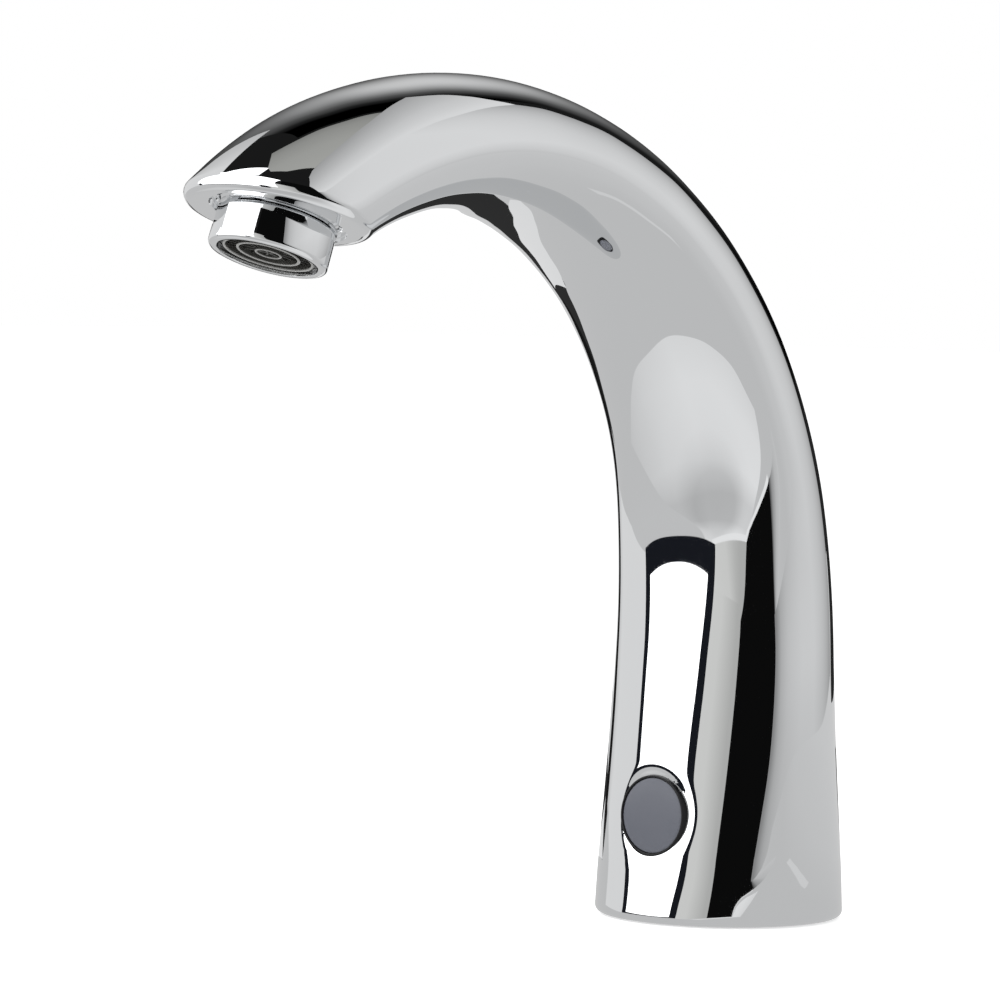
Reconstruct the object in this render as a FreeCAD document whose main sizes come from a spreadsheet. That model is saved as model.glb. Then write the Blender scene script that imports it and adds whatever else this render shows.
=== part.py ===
import FreeCAD, Part
import math
import os
import Sketcher
from FreeCAD import Placement, Rotation, Vector

# Touch-free washbasin tap. Millimetres, +Z up, spout towards -Y.
# Origin: centre of the foot, on the surface that the tap stands on.

SIZES = {
    "cast spout": [
        ("base_diameter", 52.5),
        ("column_straight", 56),        # straight part of the centre line
        ("easing_radius", 180),         # first, wide part of the bend
        ("easing_angle", 9),            # degrees turned by it
        ("bend_radius", 90),            # main bend, of the centre line
        ("spout_depth", 25.8),          # thickness that the section tapers to
        ("taper_length", 79),           # how fast it tapers
        ("spout_width", 44),
        ("width_blend", 176),           # length over which the foot narrows to it
        ("nose_run", 28.97),            # from the outlet back to where the nose narrows
        ("nose_narrowing", 5.2),        # on each side, over the nose length
        ("nose_length", 60),
        ("casting_wall", 3),
        ("cap_run", 26.33),             # from the outlet back to where the hollow ends
        ("rim_radius", 2),
    ],
    "outlet": [
        ("outlet_angle", 122.76),       # round the bend, from upright
        ("outlet_inset", 1.86),         # inside the centre line
        ("outlet_tilt", 20),
        ("thread_diameter", 24),
        ("thread_depth", 6),
        ("thread_pitch", 1),
        ("recess_width", 1.5),
        ("recess_depth", 1),
        ("chamber_diameter", 12),
        ("chamber_depth", 12),
        ("waterway_step", 0.25),        # ledge that stops the tube
    ],
    "aerator": [
        ("aerator_drop", 8.1),          # how far it stands out of the tip
        ("sleeve_step", 0.15),          # below the thread's outside, as are the next four
        ("flat_inset", 1),
        ("sleeve_wall", 1.8),
        ("mouth_inset", 1.95),
        ("lip_inset", 2.7),
        ("lip_height", 0.7),
        ("lip_thickness", 0.7),
        ("aerator_chamfer", 0.8),
        ("flat_bottom", 3.4),
        ("flat_angle", -31.6),          # of the flats, round the aerator's axis
        ("insert_height", 8.3),
        ("jet_gap", 0.2),
        ("regulator_height", 1.5),
        ("strainer_flange", 0.8),
        ("strainer_rim", 2.7),
        ("strainer_rise", 2.6),
        ("mesh_thickness", 0.5),
        ("washer_height", 2),
        ("washer_width", 3.8),
    ],
    "window": [
        ("window_height", 22.2),
        ("window_sink", 0.08),          # of its centre below the casting's surface
        ("window_tilt", 3.4),
        ("window_diameter", 16.9),
        ("bezel_rim", 0.7),
        ("bezel_depth", 2.6),
        ("lens_inset", 0.15),
        ("lens_depth", 2),
        ("window_bore_gap", 0.15),      # radial
        ("window_chamfer", 1.3),
        ("boss_wall", 2.55),
        ("boss_depth", 8),
        ("case_depth", 10),             # behind the bezel
        ("case_wall", 1.75),
        ("case_back", 1.2),
        ("ring_groove_depth", 0.95),
        ("ring_groove_width", 1.2),
        ("case_ring_place", 4.6),
        ("board_thickness", 1),
        ("board_place", 9.6),
        ("diode_diameter", 3),
        ("diode_spacing", 6),
        ("diode_length", 6.2),
        ("baffle_thickness", 0.8),
        ("pillar_step", 2.85),          # outside the window's edge
        ("pillar_diameter", 5.2),
        ("clip_thickness", 1),
        ("clip_height", 7),
        ("clip_screw", 2.5),
        ("clip_screw_head", 4.5),
        ("clip_screw_head_height", 1.5),
        ("clip_screw_length", 7),
    ],
    "foot": [
        ("plate_thickness", 6),
        ("plate_gap", 0.1),
        ("foot_rim", 3.55),
        ("lug_inset", 6.1),
        ("lug_diameter", 9),
        ("lug_root", 3),                # step from a lug to its root in the wall
        ("lug_height", 10),
        ("plate_screw", 4),
        ("plate_screw_head", 7),
        ("plate_screw_head_height", 2.6),
        ("plate_screw_length", 11.5),
        ("head_sink", 3),
        ("stud_spacing", 28),
        ("stud_core", 5),
        ("seal_groove_width", 2.2),
        ("seal_groove_depth", 1.4),
        ("grommet_edge", 0.8),          # metal left between its flange and the seal
        ("grommet_hole", 6.4),
        ("grommet_flange", 8.4),
        ("grommet_flange_height", 1.2),
        ("cable_hole", 4.2),
    ],
    "inlet riser": [
        ("riser_foot", 16),
        ("riser_flange_step", 2),
        ("riser_flange_height", 3),
        ("riser_diameter", 14),
        ("riser_top", 38),
        ("inlet_core", 9),              # core of an M10 x 1 thread
        ("inlet_depth", 12),
        ("riser_bore", 7),
        ("strainer_cup", 9.6),
        ("strainer_cup_height", 7),
        ("ring_wire", 1.5),             # section of the riser's sealing rings
    ],
    "valve": [
        ("cover_gap", 0.5),             # between the water tube and the valve's cover
        ("valve_diameter", 20),
        ("valve_bottom", 33),
        ("valve_top", 51),
        ("socket_depth", 5.2),
        ("inlet_channel", 2.8),
        ("inlet_channel_side", 5),
        ("inlet_channel_place", 1),
        ("annulus_bottom", 46),
        ("valve_wall", 2.4),
        ("seat_diameter", 7.8),
        ("seat_bore", 5.8),
        ("diaphragm_inset", 1.8),
        ("diaphragm_thickness", 1),
        ("outlet_channel", 5),
        ("outlet_level", 41.5),
        ("arm_gap", 0.7),               # to the inside of the casting
        ("arm_wall", 2.2),
        ("arm_bottom", 38),
        ("tube_stop", 44.6),
        ("ear_step", 2.3),              # outside the block's edge
        ("ear_diameter", 6.4),
        ("ear_height", 6),
        ("cover_step", 0.5),
        ("cover_height", 6),
        ("chamber_inset", 1.2),
        ("cover_chamber_depth", 2.5),
        ("pilot_hole", 1.6),
        ("valve_screw", 3),
        ("valve_screw_head", 5.5),
        ("valve_screw_head_height", 2),
        ("valve_screw_length", 11),
        ("stiffener_diameter", 10),
        ("stiffener_neck", 6),
        ("stiffener_height", 1),
    ],
    "solenoid": [
        ("guide_flange", 10.8),
        ("guide_flange_height", 1.2),
        ("guide_diameter", 8.6),
        ("guide_bore", 7.6),
        ("guide_bore_depth", 15),
        ("guide_height", 26),
        ("plunger_gap", 0.05),          # radial
        ("plunger_length", 13.2),
        ("spring_pocket", 4.4),
        ("spring_pocket_depth", 7),
        ("spring_diameter", 3.2),       # of the middle of the wire
        ("spring_wire", 0.5),
        ("spring_pitch", 1.1),
        ("yoke_thickness", 1.5),
        ("yoke_width", 13),
        ("yoke_span", 20.4),
        ("coil_height", 18.2),
        ("coil_diameter", 17),
        ("winding_diameter", 15.6),
        ("bobbin_flange", 1.2),
        ("nut_width", 11),
        ("nut_height", 3),
        ("lead_diameter", 1.8),
        ("lead_side", 3.5),             # where it leaves the window's case
        ("lead_rise", 6),               # above the window's centre
        ("lead_bow", 16.3),             # how far to the side it runs past the valve
        ("lead_depth", 6.2),            # in front of the column axis there
        ("lead_angle", 50),             # round the coil, from the side
    ],
    "water tube": [
        ("tube_diameter", 8),
        ("tube_wall", 1),
        ("tube_gap", 0.1),              # radial, in its sockets
        ("tube_bend", 70),              # radius of the first bend
        ("tube_reach", 8),              # length inside the tip's socket
        ("tube_ring_wire", 1.16),
        ("tube_ring_groove", 1.4),
        ("tube_ring_place", 4.5),
    ],
    "fits": [
        ("close_gap", 0.05),            # radial, screws and plugs in their holes
        ("end_gap", 0.1),               # along an axis, between stacked pieces
        ("ring_gap", 0.02),             # radial, round a sealing ring
    ],
}

DERIVED = {
    "nose_start": "column_straight + easing_radius * easing_angle * pi / 180"
                  " + bend_radius * (outlet_angle - easing_angle) * pi / 180 - nose_run",
    "plate_diameter": "base_diameter - 2 * foot_rim - 2 * plate_gap",
    "lug_circle": "plate_diameter - 2 * lug_inset",
    "seal_circle": "plate_diameter - seal_groove_width",
    "grommet_place": "(seal_circle - seal_groove_width - grommet_flange) / 2 - grommet_edge",
    "riser_flange": "riser_foot + 2 * riser_flange_step",
    "cap_angle": "outlet_angle - cap_run / bend_radius * 180 / pi",
    "recess_diameter": "thread_diameter + 2 * recess_width",
    "aerator_diameter": "thread_diameter - 2 * sleeve_step",
    "flat_width": "thread_diameter - 2 * flat_inset",
    "aerator_bore": "thread_diameter - 2 * sleeve_wall",
    "aerator_mouth": "thread_diameter - 2 * mouth_inset",
    "aerator_lip": "thread_diameter - 2 * lip_inset",
    "insert_face": "aerator_lip - 2 * jet_gap",
    "strainer_dome": "aerator_bore - 2 * strainer_rim",
    "washer_bore": "thread_diameter - 2 * washer_width",
    "window_front": "(spout_depth + (base_diameter - spout_depth)"
                    " * exp(-1 * window_height / taper_length)) / 2 - window_sink",
    "boss_diameter": "window_diameter + 2 * boss_wall",
    "pillar_spacing": "window_diameter + 2 * pillar_step",
    "tube_bore": "tube_diameter - 2 * tube_wall",
    "waterway_diameter": "tube_bore - 2 * waterway_step",
    "arm_diameter": "tube_diameter + 2 * arm_wall",
    "arm_place": "(spout_depth + (base_diameter - spout_depth) * exp(-1 * valve_top / taper_length)"
                 " - arm_diameter) / 2 - casting_wall - arm_gap",
    "annulus_diameter": "valve_diameter - 2 * valve_wall",
    "diaphragm_diameter": "valve_diameter - 2 * diaphragm_inset",
    "cover_chamber": "diaphragm_diameter - 2 * chamber_inset",
    "cover_diameter": "valve_diameter - 2 * cover_step",
    "ear_spacing": "valve_diameter + 2 * ear_step",
    "valve_place": "(cover_diameter + tube_diameter) / 2 + cover_gap - arm_place",
}

BEND_STEP = 21                          # degrees between the sections of the bend
BEND_STEPS = 6
ANKLE_SHARE = 0.43                      # of the straight part, where the flare is shaped

doc = FreeCAD.newDocument("sensor_tap")
sheet = doc.addObject("Spreadsheet::Sheet", "sizes")
KNOWN = set()


def fill_sheet():
    """One row for each size: its name, its value or formula, and its group."""
    rows = [(alias, str(number), group) for group, entries in SIZES.items() for alias, number in entries]
    rows += [(alias, f"={formula}", "derived") for alias, formula in DERIVED.items()]
    for row, (alias, content, group) in enumerate(rows, 1):
        sheet.set(f"A{row}", alias)
        sheet.set(f"B{row}", content)
        sheet.set(f"C{row}", group)
        sheet.setAlias(f"B{row}", alias)
        KNOWN.add(alias)
    doc.recompute()


def linked(text):
    """The formula with each size's name pointing at the sheet."""
    words = []
    word = ""
    for letter in str(text) + " ":
        if letter.isalnum() or letter == "_":
            word += letter
            continue
        words.append(f"sizes.{word}" if word in KNOWN else word)
        words.append(letter)
        word = ""
    return "".join(words).strip()


def value(text):
    """The formula's present value."""
    return float(sheet.evalExpression(linked(text)))


def cosine(angle):
    return f"cos(({angle}) * 1 deg)"


def sine(angle):
    return f"sin(({angle}) * 1 deg)"


def half(size):
    return f"({size}) / 2"


class Frame:
    """A place in the middle plane whose Z axis leans by some degrees about X."""

    def __init__(self, y="0", z="0", lean="0", forward=True):
        self.y = y
        self.z = z
        self.lean = lean
        self.forward = forward

    def point(self, back, up):
        """Formulas for the Y and Z of a point given in this frame."""
        sign = "" if self.forward else "-1 * "
        y = f"{self.y} + ({back}) * {cosine(self.lean)} - ({up}) * {sign}{sine(self.lean)}"
        z = f"{self.z} + ({back}) * {sign}{sine(self.lean)} + ({up}) * {cosine(self.lean)}"
        return y, z


UPRIGHT = Frame()


def seat(thing, frame=UPRIGHT, side="0", back="0", up="0"):
    """Puts an object at a point of a frame and turns it with the frame."""
    axis = Vector(1, 0, 0) if frame.forward else Vector(-1, 0, 0)
    thing.Placement = Placement(Vector(), Rotation(axis, value(frame.lean)))
    y, z = frame.point(back, up)
    thing.setExpression("Placement.Base.x", linked(side))
    thing.setExpression("Placement.Base.y", linked(y))
    thing.setExpression("Placement.Base.z", linked(z))
    if frame is not UPRIGHT:
        thing.setExpression("Placement.Rotation.Angle", linked(f"({frame.lean}) * 1 deg"))
    return thing


# Primitives and booleans

def solid(kind, label, settings):
    thing = doc.addObject(kind, label)
    for name, formula in settings.items():
        thing.setExpression(name, linked(formula))
    return thing


def turned_point(x, y, angle):
    """Formulas for a point turned about the origin of its sketch."""
    return (f"({x}) * {cosine(angle)} - ({y}) * {sine(angle)}",
            f"({x}) * {sine(angle)} + ({y}) * {cosine(angle)}")


def rod(label, diameter, height, frame=UPRIGHT, side="0", back="0", up="0"):
    thing = solid("Part::Cylinder", label, {"Radius": half(diameter), "Height": height})
    return seat(thing, frame, side, back, up)


def block(label, width, depth, height, frame=UPRIGHT, side="0", back="0", up="0"):
    """A box that is centred on its place in X and Y and stands on it."""
    thing = solid("Part::Box", label, {"Length": width, "Width": depth, "Height": height})
    return seat(thing, frame, f"{side} - {half(width)}", f"{back} - {half(depth)}", up)


def cone(label, low, high, height, frame=UPRIGHT, side="0", back="0", up="0"):
    sizes = {"Radius1": half(low), "Radius2": half(high), "Height": height}
    return seat(solid("Part::Cone", label, sizes), frame, side, back, up)


def hoop(label, diameter, wire, frame=UPRIGHT, side="0", back="0", up="0"):
    """A round ring: the diameter is that of the middle of its section."""
    thing = solid("Part::Torus", label, {"Radius1": half(diameter), "Radius2": half(wire)})
    return seat(thing, frame, side, back, up)


def joined(label, pieces):
    thing = doc.addObject("Part::MultiFuse", label)
    thing.Shapes = pieces
    thing.Refine = True
    return thing


def carved(label, base, tools):
    thing = doc.addObject("Part::Cut", label)
    thing.Base = base
    thing.Tool = tools[0] if len(tools) == 1 else joined(f"{label}_holes", tools)
    return thing


def group(label, pieces):
    """Like fasteners, or rings, that share one node."""
    thing = doc.addObject("Part::Compound", label)
    thing.Links = pieces
    return thing


def origin_plane(body, role):
    for feature in body.Origin.OriginFeatures:
        if feature.Role == role:
            return feature
    raise ValueError(role)


def closed_outline(sketch, corners):
    """Straight sides between corners whose coordinates follow formulas."""
    points = [Vector(value(x), value(y), 0) for x, y in corners]
    for start, end in zip(points, points[1:] + points[:1]):
        sketch.addGeometry(Part.LineSegment(start, end), False)
    for side, corner in enumerate(corners):
        after = (side + 1) % len(corners)
        sketch.addConstraint(Sketcher.Constraint("Coincident", side, 2, after, 1))
        for kind, formula, axis in (("DistanceX", corner[0], -2), ("DistanceY", corner[1], -1)):
            size = value(formula)
            if size == 0:
                sketch.addConstraint(Sketcher.Constraint("PointOnObject", side, 1, axis))
                continue
            index = sketch.addConstraint(Sketcher.Constraint(kind, -1, 1, side, 1, size))
            sketch.setExpression(f"Constraints[{index}]", linked(formula))


def sketched(body, role, corners):
    sketch = body.newObject("Sketcher::SketchObject", f"{body.Name}_outline")
    sketch.AttachmentSupport = [(origin_plane(body, role), "")]
    sketch.MapMode = "FlatFace"
    closed_outline(sketch, corners)
    return sketch


def turned(label, profile, frame=UPRIGHT, side="0", back="0", up="0"):
    """A turned piece: profile holds (diameter, height) corners round its half section."""
    body = doc.addObject("PartDesign::Body", label)
    corners = [(half(diameter), height) for diameter, height in profile]
    sketch = sketched(body, "XZ_Plane", corners)
    spin = body.newObject("PartDesign::Revolution", f"{label}_turned")
    spin.Profile = sketch
    spin.ReferenceAxis = (sketch, ["V_Axis"])
    spin.Angle = 360
    sketch.Visibility = False
    return seat(body, frame, side, back, up)


def extruded(label, corners, height, frame=UPRIGHT, side="0", back="0", up="0"):
    """A plate or bar with a straight-sided outline."""
    body = doc.addObject("PartDesign::Body", label)
    sketch = sketched(body, "XY_Plane", corners)
    pad = body.newObject("PartDesign::Pad", f"{label}_pad")
    pad.Profile = sketch
    pad.setExpression("Length", linked(height))
    return seat(body, frame, side, back, up)


def screw(label, thread, length, head, head_height):
    """A round-headed screw that points up, its head below the joint."""
    profile = [
        ("0", "0"), (head, "0"), (head, head_height),
        (thread, head_height), (thread, f"{head_height} + {length}"),
        ("0", f"{head_height} + {length}"),
    ]
    return turned(label, profile)


# Centre line and sections of the spout

def along_easing():
    return "easing_radius * easing_angle * pi / 180"


def bend_centre():
    """Y and Z of the centre of the main bend."""
    y = (f"-(easing_radius * (1 - {cosine('easing_angle')})"
         f" + bend_radius * {cosine('easing_angle')})")
    z = f"column_straight + (easing_radius - bend_radius) * {sine('easing_angle')}"
    return y, z


def on_column(height):
    """Frame and length along the centre line in the straight part."""
    return Frame("0", height, "0"), height


def on_bend(angle):
    """Frame and length along the centre line in the main bend."""
    y, z = bend_centre()
    frame = Frame(f"{y} + bend_radius * {cosine(angle)}", f"{z} + bend_radius * {sine(angle)}", angle)
    length = f"column_straight + {along_easing()} + bend_radius * ({angle} - easing_angle) * pi / 180"
    return frame, length


def half_depth(length):
    return (f"(spout_depth + (base_diameter - spout_depth)"
            f" * exp(-1 * ({length}) / taper_length)) / 2")


def half_width(length):
    share = f"min(1; ({length}) / width_blend)"
    blend = f"({share}) ^ 2 * (3 - 2 * ({share}))"
    nose = f"nose_narrowing * (max(0; {length} - nose_start) / nose_length) ^ 2"
    return f"(spout_width + (base_diameter - spout_width) * (1 - {blend})) / 2 - {nose}"


def section(label, place, inset="0"):
    """An oval across the centre line, drawn in by the inset."""
    frame, length = place
    oval = doc.addObject("Part::Ellipse", label)
    oval.MajorRadius = 100
    oval.setExpression("MinorRadius", linked(f"{half_depth(length)} - {inset}"))
    oval.setExpression("MajorRadius", linked(f"{half_width(length)} - {inset} + close_gap / 100"))
    return seat(oval, frame)


def loft(label, places, inset="0"):
    ovals = [section(f"{label}_{i}", place, inset) for i, place in enumerate(places)]
    thing = doc.addObject("Part::Loft", label)
    thing.Sections = ovals
    thing.Solid = True
    thing.Ruled = False
    return thing


COLUMN_PLACES = [on_column(f"column_straight * {ANKLE_SHARE}"), on_column("column_straight")]
BEND_PLACES = [on_bend(f"easing_angle + {BEND_STEP * i}") for i in range(BEND_STEPS + 1)]
OUTLET = on_bend("outlet_angle")[0].point("-1 * outlet_inset", "0")
TIP = Frame(*OUTLET, "outlet_tilt", forward=False)
AERATOR = Frame(*TIP.point("0", "-1 * aerator_drop"), "outlet_tilt", forward=False)
TUBE_END = on_bend("cap_angle")[0]
WINDOW = Frame("-1 * window_front", "window_height", "90 - window_tilt")


def behind_window(depth):
    return f"-1 * ({depth})"


# Cast body

def lug_places(outward="0"):
    """X and Y of the three screw lugs in the foot, or of points further out."""
    for angle in (90, 210, 330):
        yield (f"(lug_circle / 2 + {outward}) * {cosine(angle)}",
               f"(lug_circle / 2 + {outward}) * {sine(angle)}")


def pillar_sides():
    return ("-1 * pillar_spacing / 2", "pillar_spacing / 2")


def outer_casting():
    """The outside of the casting, cut flat at the tip, with its rim rounded."""
    outside = loft("outside", [on_column("0")] + COLUMN_PLACES + BEND_PLACES)
    below = block("below_tip", "base_diameter * 2", "base_diameter * 1.3", "base_diameter", TIP,
                  up="-1 * base_diameter")
    trimmed = carved("trimmed_casting", outside, [below])
    doc.recompute()
    plane_point = Vector(0, value(TIP.y), value(TIP.z))
    normal = Vector(0, value(sine("outlet_tilt")), value(cosine("outlet_tilt")))
    rim = []
    for number, edge in enumerate(trimmed.Shape.Edges, 1):
        samples = edge.discretize(9)
        if all(abs((point - plane_point).dot(normal)) < 0.01 for point in samples):
            rim.append(number)
    rounded = doc.addObject("Part::Fillet", "rounded_casting")
    rounded.Base = trimmed
    radius = value("rim_radius")
    rounded.Edges = [(number, radius, radius) for number in rim]
    return rounded


def spout_body():
    hollow_places = [on_column("plate_thickness")] + COLUMN_PLACES
    hollow_places += [place for place in BEND_PLACES if value(place[0].lean) < value("cap_angle") - 5]
    hollow_places.append(on_bend("cap_angle"))
    hollow = loft("hollow", hollow_places, "casting_wall")
    fills = [rod("window_boss", "boss_diameter", "boss_depth", WINDOW, up=behind_window("boss_depth"))]
    for i, side in enumerate(pillar_sides()):
        depth = "bezel_depth + case_depth"
        fills.append(rod(f"pillar_{i}", "pillar_diameter", depth, WINDOW, side, up=behind_window(depth)))
    for outward in ("0", "lug_root"):
        for i, (x, y) in enumerate(lug_places(outward)):
            fills.append(rod(f"lug_{i}", "lug_diameter", "lug_height", side=x, back=y, up="plate_thickness"))
    space = carved("inner_space", hollow, fills)
    holes = [
        space,
        rod("foot_recess", "plate_diameter + 2 * plate_gap", "plate_thickness"),
        rod("window_bore", "window_diameter + 2 * window_bore_gap", "boss_depth + 4", WINDOW,
            up=behind_window("boss_depth + 1")),
        cone("window_bevel", "window_diameter", "window_diameter + 2 * (window_chamfer + 1)",
             "window_chamfer + 1", WINDOW, up=behind_window("window_chamfer")),
        rod("tip_recess", "recess_diameter", "recess_depth + 1", TIP, up="-1"),
        rod("tip_thread", "thread_diameter", "thread_depth + 1", TIP, up="-1"),
        rod("tip_chamber", "chamber_diameter", "chamber_depth + 1", TIP, up="-1"),
        rod("tube_socket", "tube_diameter + 2 * tube_gap", "tube_reach + 3", TUBE_END, up="-2.5"),
        rod("tip_waterway", "waterway_diameter", "tube_reach + 12", TUBE_END, up="-1"),
        rod("tube_ring_slot", "tube_diameter + 2 * tube_ring_wire + 0.1", "tube_ring_groove", TUBE_END,
            up="tube_ring_place - tube_ring_groove / 2"),
    ]
    for i, side in enumerate(pillar_sides()):
        depth = "bezel_depth + case_depth"
        holes.append(rod(f"pillar_hole_{i}", "clip_screw + 2 * close_gap", "clip_screw_length", WINDOW,
                         side, up=behind_window(depth)))
    for i, (x, y) in enumerate(lug_places()):
        holes.append(rod(f"lug_hole_{i}", "plate_screw + 2 * close_gap", "lug_height - 1",
                         side=x, back=y, up="plate_thickness"))
    return carved("spout_body", outer_casting(), holes)


# Foot

def base_plate():
    plate = rod("plate_blank", "plate_diameter", "plate_thickness")
    holes = [
        rod("riser_hole", "riser_foot + 2 * close_gap", "plate_thickness"),
        rod("grommet_seat", "grommet_hole", "plate_thickness", back="-1 * grommet_place"),
        rod("grommet_sink", "grommet_flange + 2 * close_gap", "grommet_flange_height",
            back="-1 * grommet_place"),
        carved("seal_groove",
               rod("seal_groove_outer", "seal_circle + seal_groove_width", "seal_groove_depth"),
               [rod("seal_groove_inner", "seal_circle - seal_groove_width", "seal_groove_depth")]),
    ]
    for i, side in enumerate(("-1 * stud_spacing / 2", "stud_spacing / 2")):
        holes.append(rod(f"stud_hole_{i}", "stud_core", "plate_thickness", side=side))
    for i, (x, y) in enumerate(lug_places()):
        holes.append(rod(f"plate_hole_{i}", "plate_screw + 2 * close_gap", "plate_thickness", side=x, back=y))
        holes.append(rod(f"plate_sink_{i}", "plate_screw_head + 4 * close_gap", "head_sink", side=x, back=y))
    return carved("base_plate", plate, holes)


def base_screws():
    screws = []
    for i, (x, y) in enumerate(lug_places()):
        one = screw(f"base_screw_{i}", "plate_screw", "plate_screw_length", "plate_screw_head",
                    "plate_screw_head_height")
        screws.append(seat(one, side=x, back=y, up="head_sink - plate_screw_head_height"))
    return group("base_screws", screws)


def base_seal():
    inner = "seal_circle - seal_groove_width + 2 * close_gap"
    outer = "seal_circle + seal_groove_width - 2 * close_gap"
    top = "seal_groove_depth - end_gap"
    return turned("base_seal", [(inner, "0"), (outer, "0"), (outer, top), (inner, top)], up="end_gap / 2")


def cable_grommet():
    neck = "grommet_hole - 2 * close_gap"
    top = "plate_thickness"
    profile = [
        ("cable_hole", "0"), ("grommet_flange", "0"), ("grommet_flange", "grommet_flange_height"),
        (neck, "grommet_flange_height"), (neck, top), ("grommet_flange", top),
        ("grommet_flange", f"{top} + grommet_flange_height"), ("cable_hole", f"{top} + grommet_flange_height"),
    ]
    return turned("cable_grommet", profile, back="-1 * grommet_place")


# Inlet

def inlet_riser():
    flange_top = "plate_thickness + riser_flange_height"
    ring = "ring_wire + 0.3"
    slot = "riser_foot - 2 * ring_wire"
    low = "plate_thickness / 2"
    profile = [
        ("inlet_core", "0"), ("riser_foot", "0"),
        ("riser_foot", f"{low} - ({ring}) / 2"), (slot, f"{low} - ({ring}) / 2"),
        (slot, f"{low} + ({ring}) / 2"), ("riser_foot", f"{low} + ({ring}) / 2"),
        ("riser_foot", "plate_thickness"), ("riser_flange", "plate_thickness"),
        ("riser_flange", flange_top), ("riser_diameter", flange_top), ("riser_diameter", "riser_top"),
        ("strainer_cup + 4 * close_gap", "riser_top"),
        ("strainer_cup + 4 * close_gap", "riser_top - strainer_cup_height"),
        ("riser_bore", "riser_top - strainer_cup_height"),
        ("riser_bore", "inlet_depth"), ("inlet_core", "inlet_depth"),
    ]
    return turned("inlet_riser", profile)


def riser_seals():
    """One ring in the plate and one in the valve block."""
    low = hoop("plate_ring", "riser_foot - ring_wire", "ring_wire - 2 * ring_gap", up="plate_thickness / 2")
    high = hoop("block_ring", "riser_diameter + ring_wire", "ring_wire - 2 * ring_gap",
                up="valve_bottom + socket_depth / 2")
    return group("riser_seals", [low, high])


def inlet_strainer():
    inner = "strainer_cup - 2 * mesh_thickness"
    lip = "riser_bore + 1"
    profile = [
        ("0", "strainer_cup_height - mesh_thickness - 1.5"), (inner, "strainer_cup_height - mesh_thickness - 1.5"),
        (inner, "0"), ("strainer_cup", "0"), ("strainer_cup", "strainer_cup_height - 1.5"),
        ("0", "strainer_cup_height - 1.5"),
    ]
    cup = turned("strainer_shell", profile, up="riser_top - strainer_cup_height")
    holes = []
    for i in range(6):
        holes.append(rod(f"strainer_hole_{i}", half(half(lip)), "strainer_cup_height + 2",
                         side=f"{half(half('strainer_cup'))} * {cosine(60 * i)}",
                         back=f"{half(half('strainer_cup'))} * {sine(60 * i)}",
                         up="riser_top - strainer_cup_height + 1"))
    return carved("inlet_strainer", cup, holes)


# Valve

def ears(label, height, up):
    sides = ("-1 * ear_spacing / 2", "ear_spacing / 2")
    bridge = block(f"{label}_bridge", "ear_spacing", "ear_diameter", height, back="valve_place", up=up)
    rounds = [rod(f"{label}_ear_{i}", "ear_diameter", height, side=side, back="valve_place", up=up)
              for i, side in enumerate(sides)]
    return [bridge] + rounds


def ear_holes(label, height, up):
    sides = ("-1 * ear_spacing / 2", "ear_spacing / 2")
    return [rod(f"{label}_hole_{i}", "valve_screw + 2 * close_gap", height, side=side, back="valve_place", up=up)
            for i, side in enumerate(sides)]


def valve_body():
    height = "valve_top - valve_bottom"
    block_parts = [
        rod("block_round", "valve_diameter", height, back="valve_place", up="valve_bottom"),
        rod("block_arm", "arm_diameter", "valve_top - arm_bottom", back="-1 * arm_place", up="arm_bottom"),
        block("block_web", "arm_diameter * 0.8", "arm_place", "valve_top - arm_bottom",
              back="-1 * arm_place / 2", up="arm_bottom"),
    ] + ears("block", "ear_height", "valve_top - ear_height")
    channel = rod("outlet_channel_bore", "outlet_channel", "valve_place + arm_place",
                  Frame("valve_place", "outlet_level", "90"))
    annulus = carved("inlet_annulus",
                     rod("annulus_outer", "annulus_diameter", "valve_top - annulus_bottom",
                         back="valve_place", up="annulus_bottom"),
                     [rod("seat_wall", "seat_diameter", "valve_top - annulus_bottom - diaphragm_thickness",
                          back="valve_place", up="annulus_bottom")])
    holes = [
        channel,
        annulus,
        rod("seat_hole", "seat_bore", "valve_top - outlet_level", back="valve_place", up="outlet_level"),
        rod("diaphragm_recess", "diaphragm_diameter + 2 * close_gap", "diaphragm_thickness",
            back="valve_place", up="valve_top - diaphragm_thickness"),
        rod("riser_socket", "riser_diameter + 2 * close_gap", "socket_depth", up="valve_bottom"),
        rod("block_ring_slot", "riser_diameter + 2 * ring_wire + 2 * ring_gap", "ring_wire + 0.3",
            up="valve_bottom + socket_depth / 2 - (ring_wire + 0.3) / 2"),
        rod("arm_waterway", "waterway_diameter", "valve_top - outlet_level", back="-1 * arm_place",
            up="outlet_level"),
        rod("arm_socket", "tube_diameter + 2 * tube_gap", "valve_top - tube_stop", back="-1 * arm_place",
            up="tube_stop"),
        rod("arm_ring_slot", "tube_diameter + 2 * tube_ring_wire + 0.1", "tube_ring_groove",
            back="-1 * arm_place", up="valve_top - tube_ring_place + 1 - tube_ring_groove / 2"),
    ] + ear_holes("block", "ear_height", "valve_top - ear_height")
    for i, side in enumerate(("-1 * inlet_channel_side", "inlet_channel_side")):
        holes.append(rod(f"inlet_channel_{i}", "inlet_channel", "annulus_bottom - valve_bottom", side=side,
                         back="inlet_channel_place", up="valve_bottom + socket_depth / 2"))
    return carved("valve_body", joined("block_blank", block_parts), holes)


def diaphragm():
    inner = "stiffener_neck + 2 * close_gap"
    profile = [(inner, "0"), ("diaphragm_diameter", "0"),
               ("diaphragm_diameter", "diaphragm_thickness"), (inner, "diaphragm_thickness")]
    return turned("diaphragm", profile, back="valve_place", up="valve_top - diaphragm_thickness")


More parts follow.
